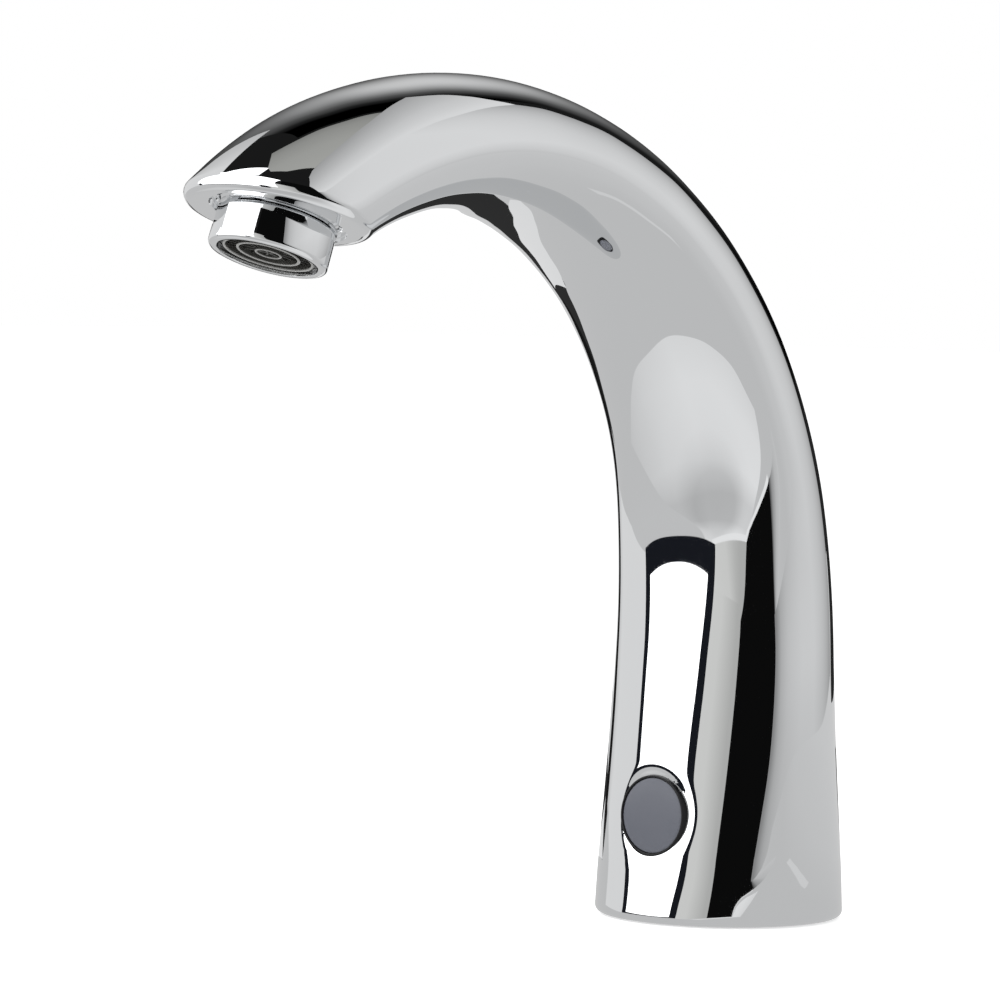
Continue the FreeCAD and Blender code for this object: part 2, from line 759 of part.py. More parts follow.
def diaphragm_plate():
    top = "diaphragm_thickness + stiffener_height"
    profile = [
        ("0", "0"), ("stiffener_neck", "0"), ("stiffener_neck", "diaphragm_thickness"),
        ("stiffener_diameter", "diaphragm_thickness"), ("stiffener_diameter", top), ("0", top),
    ]
    return turned("diaphragm_plate", profile, back="valve_place", up="valve_top - diaphragm_thickness")


def valve_cover():
    parts = [rod("cover_round", "cover_diameter", "cover_height", back="valve_place", up="valve_top")]
    parts += ears("cover", "cover_height - 2", "valve_top")
    holes = [
        rod("cover_chamber_bore", "cover_chamber", "cover_chamber_depth", back="valve_place", up="valve_top"),
        rod("pilot_bore", "pilot_hole", "cover_height", back="valve_place", up="valve_top"),
    ] + ear_holes("cover", "cover_height", "valve_top")
    return carved("valve_cover", joined("cover_blank", parts), holes)


def valve_screws():
    screws = []
    for i, side in enumerate(("-1 * ear_spacing / 2", "ear_spacing / 2")):
        profile = [
            ("0", "0"), ("valve_screw", "0"), ("valve_screw", "valve_screw_length - end_gap"),
            ("valve_screw_head", "valve_screw_length - end_gap"),
            ("valve_screw_head", "valve_screw_length - end_gap + valve_screw_head_height"),
            ("0", "valve_screw_length - end_gap + valve_screw_head_height"),
        ]
        up = "valve_top + cover_height - 2 - valve_screw_length + end_gap"
        screws.append(turned(f"valve_screw_{i}", profile, side=side, back="valve_place", up=up))
    return group("valve_screws", screws)


# Solenoid

COVER_TOP = "valve_top + cover_height"


def armature_tube():
    profile = [
        ("guide_bore", "0"), ("guide_flange", "0"), ("guide_flange", "guide_flange_height"),
        ("guide_diameter", "guide_flange_height"), ("guide_diameter", "guide_height"),
        ("0", "guide_height"), ("0", "guide_bore_depth"), ("guide_bore", "guide_bore_depth"),
    ]
    return turned("armature_tube", profile, back="valve_place", up=COVER_TOP)


def plunger():
    outer = "guide_bore - 2 * plunger_gap"
    pocket = "plunger_length - spring_pocket_depth"
    profile = [
        ("0", "0"), (outer, "0"), (outer, "plunger_length"), ("spring_pocket", "plunger_length"),
        ("spring_pocket", pocket), ("0", pocket),
    ]
    return turned("plunger", profile, back="valve_place", up=COVER_TOP)


def plunger_spring():
    """Closing spring between the plunger's pocket and the end of the guide bore."""
    room = "guide_bore_depth - plunger_length + spring_pocket_depth"
    path = solid("Part::Helix", "spring_path", {
        "Radius": half("spring_diameter"), "Pitch": "spring_pitch",
        "Height": f"{room} - spring_wire - 2 * end_gap",
    })
    wire = solid("Part::Circle", "spring_section", {"Radius": half("spring_wire")})
    wire.Placement = Placement(Vector(), Rotation(Vector(1, 0, 0), 90))
    wire.setExpression("Placement.Base.x", linked(half("spring_diameter")))
    sweep = doc.addObject("Part::Sweep", "plunger_spring")
    sweep.Sections = [wire]
    sweep.Spine = (path, ["Edge1"])
    sweep.Solid = True
    sweep.Frenet = True
    up = f"{COVER_TOP} + plunger_length - spring_pocket_depth + spring_wire / 2 + end_gap"
    return seat(sweep, back="valve_place", up=up)


def solenoid_coil():
    inner = "guide_diameter + 2 * end_gap"
    height = "coil_height - 2 * end_gap"
    profile = [
        (inner, "0"), ("coil_diameter", "0"), ("coil_diameter", "bobbin_flange"),
        ("winding_diameter", "bobbin_flange"), ("winding_diameter", f"{height} - bobbin_flange"),
        ("coil_diameter", f"{height} - bobbin_flange"), ("coil_diameter", height), (inner, height),
    ]
    up = f"{COVER_TOP} + guide_flange_height + yoke_thickness + end_gap"
    return turned("solenoid_coil", profile, back="valve_place", up=up)


def solenoid_yoke():
    bottom = f"{COVER_TOP} + guide_flange_height"
    height = "coil_height + 2 * yoke_thickness"
    outside = block("yoke_outside", "yoke_span", "yoke_width", height, back="valve_place", up=bottom)
    inside = block("yoke_inside", "yoke_span - 2 * yoke_thickness", "yoke_width + 2", "coil_height",
                   back="valve_place", up=f"{bottom} + yoke_thickness")
    hole = rod("yoke_hole", "guide_diameter + 2 * end_gap", height, back="valve_place", up=bottom)
    return carved("solenoid_yoke", outside, [inside, hole])


def yoke_nut():
    across = "nut_width / 2 / cos(30 deg)"
    corners = [(f"{across} * {cosine(60 * i + 30)}", f"{across} * {sine(60 * i + 30)}") for i in range(6)]
    up = f"{COVER_TOP} + guide_flange_height + coil_height + 2 * yoke_thickness"
    blank = extruded("nut_blank", corners, "nut_height", back="valve_place", up=up)
    hole = rod("nut_hole", "guide_diameter + 2 * close_gap", "nut_height", back="valve_place", up=up)
    return carved("yoke_nut", blank, [hole])


def rounded_path(points):
    """Straight runs joined by tangent arcs, each as large as its two runs allow."""
    edges = []
    start = points[0]
    for before, corner, after in zip(points, points[1:], points[2:]):
        back = (before - corner).normalize()
        ahead = (after - corner).normalize()
        turn = math.pi - back.getAngle(ahead)
        reach = 0.45 * min((before - corner).Length, (after - corner).Length)
        radius = reach / math.tan(turn / 2)
        middle = (back + ahead).normalize()
        peak = corner + middle * (radius / math.cos(turn / 2) - radius)
        arc_start = corner + back * reach
        arc_end = corner + ahead * reach
        edges.append(Part.LineSegment(start, arc_start).toShape())
        edges.append(Part.Arc(arc_start, peak, arc_end).toShape())
        start = arc_end
    edges.append(Part.LineSegment(start, points[-1]).toShape())
    return Part.Wire(edges)


def solenoid_lead():
    """Thin lead inside the column, from the back of the case round the valve to the winding."""
    y, z = WINDOW.point("lead_rise", behind_window("bezel_depth + case_depth + end_gap"))
    start = Vector(value("lead_side"), value(y), value(z))
    bow = value("lead_bow")
    depth = -value("lead_depth")
    level = value(f"{COVER_TOP} + guide_flange_height + yoke_thickness + coil_height / 2")
    angle = math.radians(value("lead_angle"))
    out = Vector(math.cos(angle), -math.sin(angle), 0)
    end = Vector(0, value("valve_place"), level) + out * value("winding_diameter / 2 + end_gap")
    points = [
        start,
        start + Vector(0, 2.6, 0),
        Vector(bow * 0.88, depth, start.z + 4),
        Vector(bow, depth, value("valve_bottom + valve_top") / 2),
        Vector(bow * 0.86, depth, value(COVER_TOP)),
        end + out * 4,
        end,
    ]
    path = rounded_path(points)
    circle = Part.makeCircle(value("lead_diameter") / 2, points[0], points[1] - points[0])
    lead = doc.addObject("Part::Feature", "solenoid_lead")
    lead.Shape = path.makePipeShell([Part.Wire([circle])], True, False)
    return lead


# Water tube

def tube_path():
    """Up from the valve block, through the bend and straight into the tip's socket."""
    centre_y, centre_z = (value(text) for text in bend_centre())
    run = value("bend_radius")
    small = value("tube_bend")
    start = Vector(0, -value("arm_place"), value("tube_stop + end_gap"))
    sideways = start.y - centre_y - small
    rise = math.sqrt((run - small) ** 2 - sideways ** 2)
    small_centre = Vector(0, start.y - small, centre_z + rise)
    meet = math.atan2(rise, sideways)
    last = math.radians(value("cap_angle"))

    def around(centre, radius, angle):
        return centre + Vector(0, radius * math.cos(angle), radius * math.sin(angle))

    centre = Vector(0, centre_y, centre_z)
    bend_start = around(small_centre, small, 0)
    join = around(small_centre, small, meet)
    bend_end = around(centre, run, last)
    end = bend_end + Vector(0, -math.sin(last), math.cos(last)) * value("tube_reach")
    return Part.Wire([
        Part.LineSegment(start, bend_start).toShape(),
        Part.Arc(bend_start, around(small_centre, small, meet / 2), join).toShape(),
        Part.Arc(join, around(centre, run, (meet + last) / 2), bend_end).toShape(),
        Part.LineSegment(bend_end, end).toShape(),
    ])


def water_tube():
    path = tube_path()
    start = path.Vertexes[0].Point
    up = Vector(0, 0, 1)
    rounds = [Part.Wire([Part.makeCircle(value(size) / 2, start, up)]) for size in ("tube_diameter", "tube_bore")]
    skin, bore = (path.makePipeShell([one], True, False) for one in rounds)
    tube = doc.addObject("Part::Feature", "water_tube")
    tube.Shape = skin.cut(bore)
    return tube


def tube_seals():
    """One ring in the valve block's arm and one in the tip's socket."""
    wire = "tube_ring_wire"
    circle = "tube_diameter + tube_ring_wire + 2 * ring_gap"
    low = hoop("arm_ring", circle, wire, back="-1 * arm_place", up="valve_top - tube_ring_place + 1")
    high = hoop("tip_ring", circle, wire, TUBE_END, up="tube_ring_place")
    return group("tube_seals", [low, high])


# Window and its electronics

def sensor_bezel():
    inner = "window_diameter - 2 * bezel_rim"
    profile = [(inner, "0"), ("window_diameter", "0"), ("window_diameter", "bezel_depth"), (inner, "bezel_depth")]
    return turned("sensor_bezel", profile, WINDOW, up=behind_window("bezel_depth"))


def sensor_lens():
    size = "window_diameter - 2 * bezel_rim - 2 * close_gap"
    profile = [("0", "0"), (size, "0"), (size, "lens_depth"), ("0", "lens_depth")]
    return turned("sensor_lens", profile, WINDOW, up=behind_window("lens_inset + lens_depth"))


def sensor_housing():
    inner = "window_diameter - 2 * case_wall"
    groove = "window_diameter - 2 * ring_groove_depth"
    ring = "bezel_depth + case_depth - case_ring_place"
    profile = [
        ("0", "0"), ("window_diameter", "0"),
        ("window_diameter", f"{ring} - ring_groove_width / 2"), (groove, f"{ring} - ring_groove_width / 2"),
        (groove, f"{ring} + ring_groove_width / 2"), ("window_diameter", f"{ring} + ring_groove_width / 2"),
        ("window_diameter", "case_depth"), (inner, "case_depth"), (inner, "case_back"), ("0", "case_back"),
    ]
    return turned("sensor_housing", profile, WINDOW, up=behind_window("bezel_depth + case_depth"))


def sensor_seal():
    wire = "ring_groove_depth + window_bore_gap - 2 * ring_gap"
    circle = f"window_diameter - ring_groove_depth + window_bore_gap"
    return hoop("sensor_seal", circle, wire, WINDOW, up=behind_window("case_ring_place"))


def sensor_board():
    size = "window_diameter - 2 * case_wall - 4 * close_gap"
    profile = [("0", "0"), (size, "0"), (size, "board_thickness"), ("0", "board_thickness")]
    return turned("sensor_board", profile, WINDOW, up=behind_window("board_place + board_thickness"))


def diode(label, side):
    """Round-nosed optical part that stands on the board behind the lens."""
    shaft = rod(f"{label}_stem", "diode_diameter", "diode_length - diode_diameter / 2")
    nose = solid("Part::Sphere", f"{label}_nose", {"Radius": half("diode_diameter")})
    seat(nose, up="diode_length - diode_diameter / 2")
    return seat(joined(label, [shaft, nose]), WINDOW, side, up=behind_window("board_place"))


def light_baffle():
    height = "window_diameter - 2 * case_wall - 8 * close_gap"
    depth = "board_place - bezel_depth - end_gap"
    return block("light_baffle", "baffle_thickness", height, depth, WINDOW, up=behind_window("board_place"))


def sensor_clip():
    depth = "bezel_depth + case_depth"
    bar = block("clip_bar", "pillar_spacing + pillar_diameter", "clip_height", "clip_thickness", WINDOW,
                up=behind_window(f"{depth} + clip_thickness"))
    holes = [rod(f"clip_hole_{i}", "clip_screw + 4 * close_gap", "clip_thickness", WINDOW, side,
                 up=behind_window(f"{depth} + clip_thickness")) for i, side in enumerate(pillar_sides())]
    return carved("sensor_clip", bar, holes)


def clip_screws():
    screws = []
    for i, side in enumerate(pillar_sides()):
        length = "clip_screw_length + clip_thickness - 0.5"
        one = screw(f"clip_screw_{i}", "clip_screw", length, "clip_screw_head", "clip_screw_head_height")
        depth = "bezel_depth + case_depth + clip_thickness + clip_screw_head_height"
        screws.append(seat(one, WINDOW, side, up=behind_window(depth)))
    return group("clip_screws", screws)


# Aerator, measured up from its own lower edge

INSERT_BOTTOM = "lip_height + lip_thickness"
HOUSING_TOP = "aerator_drop + thread_depth - washer_height"
REGULATOR_BOTTOM = f"{INSERT_BOTTOM} + insert_height"
STRAINER_BOTTOM = f"{REGULATOR_BOTTOM} + regulator_height"


def aerator_housing():
    """Threaded sleeve with two spanner flats on the part that stands out."""
    thread = "thread_diameter - 2 * close_gap"
    profile = [
        ("aerator_mouth", "0"), ("aerator_diameter - 2 * aerator_chamfer", "0"),
        ("aerator_diameter", "aerator_chamfer"), ("aerator_diameter", "aerator_drop + 0.4"),
        (thread, "aerator_drop + 0.4"), (thread, HOUSING_TOP), ("aerator_bore", HOUSING_TOP),
        ("aerator_bore", INSERT_BOTTOM), ("aerator_lip", INSERT_BOTTOM), ("aerator_lip", "lip_height"),
        ("aerator_mouth", "lip_height - 0.1"),
    ]
    sleeve = turned("sleeve", profile)
    height = "aerator_drop + 0.4 - flat_bottom"
    inner = half("flat_width")
    outer = "aerator_diameter * 0.6"
    cheeks = []
    for i, (near, far) in enumerate(((inner, outer), (f"-1 * {outer}", f"-1 * {inner}"))):
        corners = [turned_point(x, y, "flat_angle") for x, y in (
            (f"-1 * {outer}", near), (outer, near), (outer, far), (f"-1 * {outer}", far))]
        cheeks.append(extruded(f"flat_cheek_{i}", corners, height, up="flat_bottom"))
    housing = carved("aerator_housing", sleeve, cheeks)
    return seat(housing, AERATOR)


def aerator_insert():
    """Jet former: a flanged disc with ring grooves in its lower face."""
    flange = "aerator_bore - 4 * close_gap"
    ring = "insert_face / 12"
    face = "0"
    sunk = "lip_thickness"
    profile = [("0", face), (f"{ring} * 2", face), (f"{ring} * 2", sunk), (f"{ring} * 4", sunk),
               (f"{ring} * 4", face), (f"{ring} * 6", face), (f"{ring} * 6", sunk), (f"{ring} * 8", sunk),
               (f"{ring} * 8", face), ("insert_face", face), ("insert_face", "lip_thickness + end_gap"),
               (flange, "lip_thickness + end_gap"), (flange, "lip_thickness + insert_height - end_gap"),
               ("0", "lip_thickness + insert_height - end_gap")]
    return turned("aerator_insert", profile, AERATOR, up="lip_height")


def flow_regulator():
    outer = "aerator_bore - 4 * close_gap"
    top = "regulator_height - end_gap"
    inner = "aerator_bore / 3"
    profile = [(inner, "0"), (outer, "0"), (outer, top), (inner, top)]
    return turned("flow_regulator", profile, AERATOR, up=REGULATOR_BOTTOM)


def aerator_strainer():
    """Thin cone with a flange, pressed on the regulator by the washer."""
    outer = "aerator_bore - 4 * close_gap"
    wall = "mesh_thickness"
    crown = "strainer_dome / 2"
    profile = [
        ("strainer_dome - 2 * mesh_thickness", "0"), (outer, "0"), (outer, "strainer_flange"),
        ("strainer_dome", "strainer_flange"), (crown, "strainer_flange + strainer_rise"),
        ("0", "strainer_flange + strainer_rise"), ("0", f"strainer_flange + strainer_rise - {wall}"),
        (f"{crown} - {wall}", f"strainer_flange + strainer_rise - {wall}"),
    ]
    return turned("aerator_strainer", profile, AERATOR, up=STRAINER_BOTTOM)


def aerator_washer():
    outer = "thread_diameter - 8 * close_gap"
    top = "washer_height - end_gap"
    profile = [("washer_bore", "0"), (outer, "0"), (outer, top), ("washer_bore", top)]
    return turned("aerator_washer", profile, AERATOR, up=HOUSING_TOP)


def build():
    fill_sheet()
    nodes = [
        spout_body(),
        base_plate(), base_screws(), base_seal(), cable_grommet(),
        inlet_riser(), riser_seals(), inlet_strainer(),
        valve_body(), diaphragm(), diaphragm_plate(), valve_cover(), valve_screws(),
        armature_tube(), plunger(), plunger_spring(), solenoid_coil(), solenoid_yoke(), yoke_nut(),
        solenoid_lead(), water_tube(), tube_seals(),
        sensor_lens(), sensor_bezel(), sensor_housing(), sensor_seal(), sensor_board(),
        diode("ir_emitter", "-1 * diode_spacing / 2"), diode("ir_receiver", "diode_spacing / 2"),
        light_baffle(), sensor_clip(), clip_screws(),
        aerator_housing(), aerator_insert(), flow_regulator(), aerator_strainer(), aerator_washer(),
    ]
    doc.recompute()
    return nodes


def check(nodes):
    for thing in doc.Objects:
        if "Invalid" in thing.State or "Error" in thing.State:
            raise RuntimeError(f"{thing.Label} did not recompute: {thing.State}")
    for node in nodes:
        if node.Shape.isNull() or not node.Shape.isValid() or not node.Shape.Solids:
            raise RuntimeError(f"{node.Label} has no valid solid")


def write(nodes):
    os.makedirs("parts", exist_ok=True)
    for node in nodes:
        node.Shape.exportStep(f"parts/{node.Label}.step")
        box = node.Shape.BoundBox
        print(f"{node.Label:18s} {len(node.Shape.Solids)} solid {node.Shape.Volume:10.1f} mm3  "
              f"x {box.XMin:7.2f} {box.XMax:7.2f}  y {box.YMin:8.2f} {box.YMax:7.2f}  "
              f"z {box.ZMin:7.2f} {box.ZMax:7.2f}")


tap_nodes = build()
check(tap_nodes)
write(tap_nodes)
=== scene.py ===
"""Touch-free washbasin tap: the visible pieces, their finishes and the studio round them.

Sizes are in millimetres, and become metres where a mesh is made.
"""

import logging
import math
from dataclasses import dataclass, field
from enum import Enum
from typing import Callable, Sequence

import bmesh
import bpy
import numpy as np
from mathutils import Matrix, Vector
from mathutils.bvhtree import BVHTree


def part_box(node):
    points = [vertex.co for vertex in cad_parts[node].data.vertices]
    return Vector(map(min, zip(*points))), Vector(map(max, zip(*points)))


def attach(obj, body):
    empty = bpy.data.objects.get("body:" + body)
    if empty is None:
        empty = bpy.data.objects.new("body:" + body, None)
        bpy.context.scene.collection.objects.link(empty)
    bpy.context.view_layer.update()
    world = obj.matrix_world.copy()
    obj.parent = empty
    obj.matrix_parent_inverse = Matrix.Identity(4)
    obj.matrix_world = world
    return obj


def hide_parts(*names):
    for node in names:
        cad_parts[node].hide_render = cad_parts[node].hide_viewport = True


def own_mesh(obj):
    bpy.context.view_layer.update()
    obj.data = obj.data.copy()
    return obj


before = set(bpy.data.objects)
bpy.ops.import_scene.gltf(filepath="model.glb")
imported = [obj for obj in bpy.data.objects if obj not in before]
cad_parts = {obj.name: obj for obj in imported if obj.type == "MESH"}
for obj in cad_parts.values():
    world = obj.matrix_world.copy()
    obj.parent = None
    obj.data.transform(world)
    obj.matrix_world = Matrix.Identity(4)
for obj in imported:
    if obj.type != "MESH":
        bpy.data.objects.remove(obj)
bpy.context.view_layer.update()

log = logging.getLogger("tap")

MM = 0.001
SMOOTH_ANGLE = math.radians(30)
FACING_DOWN = -0.9
NOISE_SPAN = (0.3, 0.7)
Spot = tuple[float, float]
Outline = Sequence[Spot]
Triple = tuple[float, float, float]
Corners = tuple[Triple, ...]


class Body(Enum):
    """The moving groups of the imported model."""

    TAP = "tap"
    CORE = "aerator_core"
    SLEEVE = "aerator_sleeve"


class Slot(Enum):
    """The record's material slots, one given with each new piece."""

    CHROME = "polished_chrome"
    WINDOW = "window_plastic"
    BEZEL = "bezel_plastic"
    JET = "jet_plastic"
    RUBBER = "seal_rubber"
    STAINLESS = "stainless"


# Shape of the casting


@dataclass(frozen=True)
class SpoutLine:
    """Centre line and oval sections of the casting, in millimetres."""

    straight: float = 56.0
    easing_radius: float = 180.0
    easing: float = math.radians(9)
    bend_radius: float = 90.0
    foot_radius: float = 26.25
    depth: float = 12.9
    taper: float = 79.0
    width: float = 22.0
    blend: float = 176.0
    nose_start: float = 234.0
    nose_length: float = 60.0
    nose_narrowing: float = 5.2

    @property
    def eased(self) -> float:
        """Length along the centre line where the main bend starts."""
        return self.straight + self.easing_radius * self.easing

    def length_at(self, lean: float) -> float:
        """Length along the centre line at a lean in the main bend, in radians."""
        return self.eased + self.bend_radius * (lean - self.easing)

    def lean(self, length: np.ndarray) -> np.ndarray:
        """Lean of the centre line from upright, in radians.

        Args:
            length: Lengths along the centre line.

        Returns:
            The lean at each length.
        """
        easing = np.clip((length - self.straight) / self.easing_radius, 0, self.easing)
        return easing + np.maximum(0, length - self.eased) / self.bend_radius

    def centre(self, length: np.ndarray) -> tuple[np.ndarray, np.ndarray]:
        """Y and Z of the centre line.

        Args:
            length: Lengths along the centre line.

        Returns:
            The Y values and the Z values.
        """
        lean = self.lean(length)
        eased = np.minimum(lean, self.easing)
        y = -self.easing_radius * (1 - np.cos(eased))
        z = np.minimum(length, self.straight) + self.easing_radius * np.sin(eased)
        y = y - self.bend_radius * (np.cos(eased) - np.cos(lean))
        z = z + self.bend_radius * (np.sin(lean) - np.sin(eased))
        return y, z

    def half_depth(self, length: np.ndarray) -> np.ndarray:
        """Half thickness of the oval in the plane of the bend."""
        return self.depth + (self.foot_radius - self.depth) * np.exp(-length / self.taper)

    def half_width(self, length: np.ndarray) -> np.ndarray:
        """Half width of the oval, across the bend.

        Args:
            length: Lengths along the centre line.

        Returns:
            The half width at each length.
        """
        share = np.clip(length / self.blend, 0, 1)
        eased = share * share * (3 - 2 * share)
        nose = np.maximum(0, length - self.nose_start) / self.nose_length
        return self.width + (self.foot_radius - self.width) * (1 - eased) - self.nose_narrowing * nose**2

    def points(self, length: np.ndarray, turn: np.ndarray, inset: float = 0.0) -> np.ndarray:
        """Points on the oval sections.

        Args:
            length: Lengths along the centre line.
            turn: Angles round the section, from +X towards the outside of the bend.
            inset: How far the section is drawn in.

        Returns:
            Points in the tap's frame, in the last axis.
        """
        y, z = self.centre(length)
        lean = self.lean(length)
        across = (self.half_width(length) - inset) * np.cos(turn)
        outward = (self.half_depth(length) - inset) * np.sin(turn)
        return np.stack([across, y + outward * np.cos(lean), z + outward * np.sin(lean)], -1)

    def normals(self, length: np.ndarray, turn: np.ndarray) -> np.ndarray:
        """Outward normals of the oval sections.

        Args:
            length: Lengths along the centre line.
            turn: Angles round the section.

        Returns:
            Unit normals, in the last axis.
        """
        step = 1e-3
        along = self.points(length + step, turn) - self.points(length - step, turn)
        around = self.points(length, turn + step) - self.points(length, turn - step)
        normal = np.cross(around, along)
        return normal / np.linalg.norm(normal, axis=-1, keepdims=True)


@dataclass(frozen=True)
class Outlet:
    """The flat cut under the tip, with the axis of the aerator."""

    reach: float = 138.8
    height: float = 144.2
    tilt: float = math.radians(20)
    drop: float = 8.1

    @property
    def centre(self) -> np.ndarray:
        """Where the aerator's axis crosses the cut."""
        return np.array([0.0, -self.reach, self.height])

    @property
    def down(self) -> np.ndarray:
        """Direction that the water takes."""
        return np.array([0.0, -math.sin(self.tilt), -math.cos(self.tilt)])

    def placed(self, above: float) -> Matrix:
        """Frame on the axis, a distance above the cut, with Z up along the axis."""
        return axis_frame(self.centre - self.down * above, -self.down)


@dataclass(frozen=True)
class Window:
    """The round infra-red window low on the column."""

    front: float = 22.9
    height: float = 22.2
    tilt: float = math.radians(3.4)
    radius: float = 8.45

    def placed(self, behind: float) -> Matrix:
        """Frame on its axis, a depth behind its front, with Z out of the window."""
        out = np.array([0.0, -math.cos(self.tilt), math.sin(self.tilt)])
        return axis_frame(np.array([0.0, -self.front, self.height]) - out * behind, out)


def axis_frame(origin: np.ndarray, axis: np.ndarray) -> Matrix:
    """Matrix of a frame in the middle plane, X across the tap and Z along an axis.

    Args:
        origin: Its origin, in millimetres.
        axis: Its Z direction, in the YZ plane.

    Returns:
        The 4x4 matrix, in metres.
    """
    across = Vector((1, 0, 0))
    ahead = Vector(axis).cross(across)
    turned = Matrix((across, ahead, Vector(axis))).transposed().to_4x4()
    return Matrix.Translation(Vector(origin) * MM) @ turned


# Ways of modelling


def start_clean() -> None:
    """Leaves edit mode and deselects everything."""
    if bpy.context.object and bpy.context.object.mode != "OBJECT":
        bpy.ops.object.mode_set(mode="OBJECT")
    bpy.ops.object.select_all(action="DESELECT")


def only(*pieces: bpy.types.Object) -> None:
    """Selects these pieces and no others, and makes the last one active.

    Args:
        *pieces: The pieces.
    """
    start_clean()
    for piece in pieces:
        piece.select_set(True)
    bpy.context.view_layer.objects.active = pieces[-1]


def named(name: str) -> bpy.types.Object:
    """Names the object that was just added, and its mesh.

    Args:
        name: The name.

    Returns:
        The object.
    """
    piece = bpy.context.object
    piece.name = name
    piece.data.name = name
    return piece


def select_faces(piece: bpy.types.Object, wanted: Callable[[Vector], bool]) -> None:
    """Selects faces in edit mode by their normals.

    Args:
        piece: The piece in edit mode.
        wanted: Says of a face's normal whether the face is selected.
    """
    mesh = bmesh.from_edit_mesh(piece.data)
    for face in mesh.faces:
        face.select_set(wanted(face.normal))
    mesh.select_flush_mode()
    bmesh.update_edit_mesh(piece.data)


def select_open_edges() -> None:
    """Selects the edges that have a single face, in edit mode."""
    bpy.ops.mesh.select_all(action="DESELECT")
    bpy.ops.mesh.select_mode(type="EDGE")
    bpy.ops.mesh.select_non_manifold(extend=False)


def draw_to_pole(rise: float) -> None:
    """Extrudes the selected ring by a rise in millimetres and draws it into a pole."""
    bpy.ops.mesh.extrude_region_move(TRANSFORM_OT_translate={"value": (0, 0, rise * MM)})
    bpy.ops.mesh.merge(type="COLLAPSE")


def lathe(name: str, outline: Outline, segments: int) -> bpy.types.Object:
    """Turns an outline round Z: a ring is added, then extruded and scaled from corner to corner.

    Args:
        name: Name of the piece.
        outline: Radius and height of each corner. It is closed from last to first, unless
            those are on the axis, where it ends in poles.
        segments: Facets round the axis.

    Returns:
        The piece, with outward normals.
    """
    start_clean()
    poles = outline[0][0] == 0
    corners = outline[1:-1] if poles else outline
    radius, height = corners[0]
    bpy.ops.mesh.primitive_circle_add(vertices=segments, radius=radius * MM, location=(0, 0, height * MM))
    piece = named(name)
    bpy.ops.object.transform_apply(location=True, rotation=False, scale=False)
    bpy.ops.object.mode_set(mode="EDIT")
    bpy.ops.mesh.select_all(action="SELECT")
    if poles:
        draw_to_pole(outline[0][1] - height)
        select_open_edges()
    for (wide, low), (next_wide, next_low) in zip(corners, corners[1:]):
        bpy.ops.mesh.extrude_region_move(TRANSFORM_OT_translate={"value": (0, 0, (next_low - low) * MM)})
        ratio = next_wide / wide
        bpy.ops.transform.resize(value=(ratio, ratio, 1), center_override=(0, 0, next_low * MM))
    if poles:
        draw_to_pole(outline[-1][1] - corners[-1][1])
    else:
        select_open_edges()
        bpy.ops.mesh.bridge_edge_loops()
    tidy_mesh()
    bpy.ops.object.mode_set(mode="OBJECT")
    return piece


def tidy_mesh() -> None:
    """Merges doubles and turns the faces outwards, in edit mode."""
    bpy.ops.mesh.select_mode(type="VERT")
    bpy.ops.mesh.select_all(action="SELECT")
    bpy.ops.mesh.remove_doubles(threshold=1e-7)
    bpy.ops.mesh.normals_make_consistent(inside=False)


def wrap(name: str, rows: np.ndarray) -> bpy.types.Object:
    """Wraps a grid round rows of rings, so that it closes on itself.

    Args:
        name: Name of the piece.
        rows: Rings of points in millimetres, of shape (rows, points in a ring, 3).

    Returns:
        The piece, with outward normals.
    """
    start_clean()
    count, around = rows.shape[:2]
    bpy.ops.mesh.primitive_grid_add(x_subdivisions=around, y_subdivisions=count - 1, size=1)
    piece = named(name)
    closed = np.concatenate([rows, rows[:, :1]], axis=1)
    piece.data.vertices.foreach_set("co", (closed * MM).astype(np.float32).ravel())
    bpy.ops.object.mode_set(mode="EDIT")
    tidy_mesh()
    bpy.ops.object.mode_set(mode="OBJECT")
    return piece


def apply(piece: bpy.types.Object, kind: str, **settings: object) -> None:
    """Adds a modifier and applies it.

    Args:
        piece: The piece to change.
        kind: Blender's type of modifier.
        **settings: The modifier's settings.
    """
    only(piece)
    modifier = piece.modifiers.new(kind.lower(), kind)
    for key, setting in settings.items():
        setattr(modifier, key, setting)
    bpy.ops.object.modifier_apply(modifier=modifier.name)


def carve(piece: bpy.types.Object, cutter: bpy.types.Object) -> None:
    """Cuts one piece with another, which is then removed."""
    apply(piece, "BOOLEAN", operation="DIFFERENCE", object=cutter, solver="EXACT")
    bpy.data.objects.remove(cutter, do_unlink=True)


def soften(piece: bpy.types.Object, width: float) -> None:
    """Rounds the sharp edges by a width in millimetres."""
    apply(piece, "BEVEL", width=width * MM, segments=2, limit_method="ANGLE",
          angle_limit=SMOOTH_ANGLE, harden_normals=False, use_clamp_overlap=True)


def smooth(piece: bpy.types.Object) -> None:
    """Shades a piece smooth except at its sharp edges."""
    only(piece)
    bpy.ops.object.shade_smooth_by_angle(angle=SMOOTH_ANGLE)


def settle(piece: bpy.types.Object, place: Matrix) -> None:
    """Moves a piece to its place and puts that place into its mesh.

    Args:
        piece: The piece.
        place: Its place, in metres.
    """
    only(piece)
    piece.matrix_world = place
    bpy.ops.object.transform_apply(location=True, rotation=True, scale=True)


def hand_in(
        piece: bpy.types.Object, body: Body, slot: Slot, finish: bpy.types.Material, *nodes: str) -> None:
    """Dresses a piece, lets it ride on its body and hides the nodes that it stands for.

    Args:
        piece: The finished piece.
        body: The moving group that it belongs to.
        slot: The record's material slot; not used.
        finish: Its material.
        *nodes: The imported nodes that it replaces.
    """
    piece.data.materials.clear()
    piece.data.materials.append(finish)
    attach(piece, body.value)
    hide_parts(*nodes)
    log.info("%s: %d faces on %s", piece.name, len(piece.data.polygons), body.value)


# Finishes


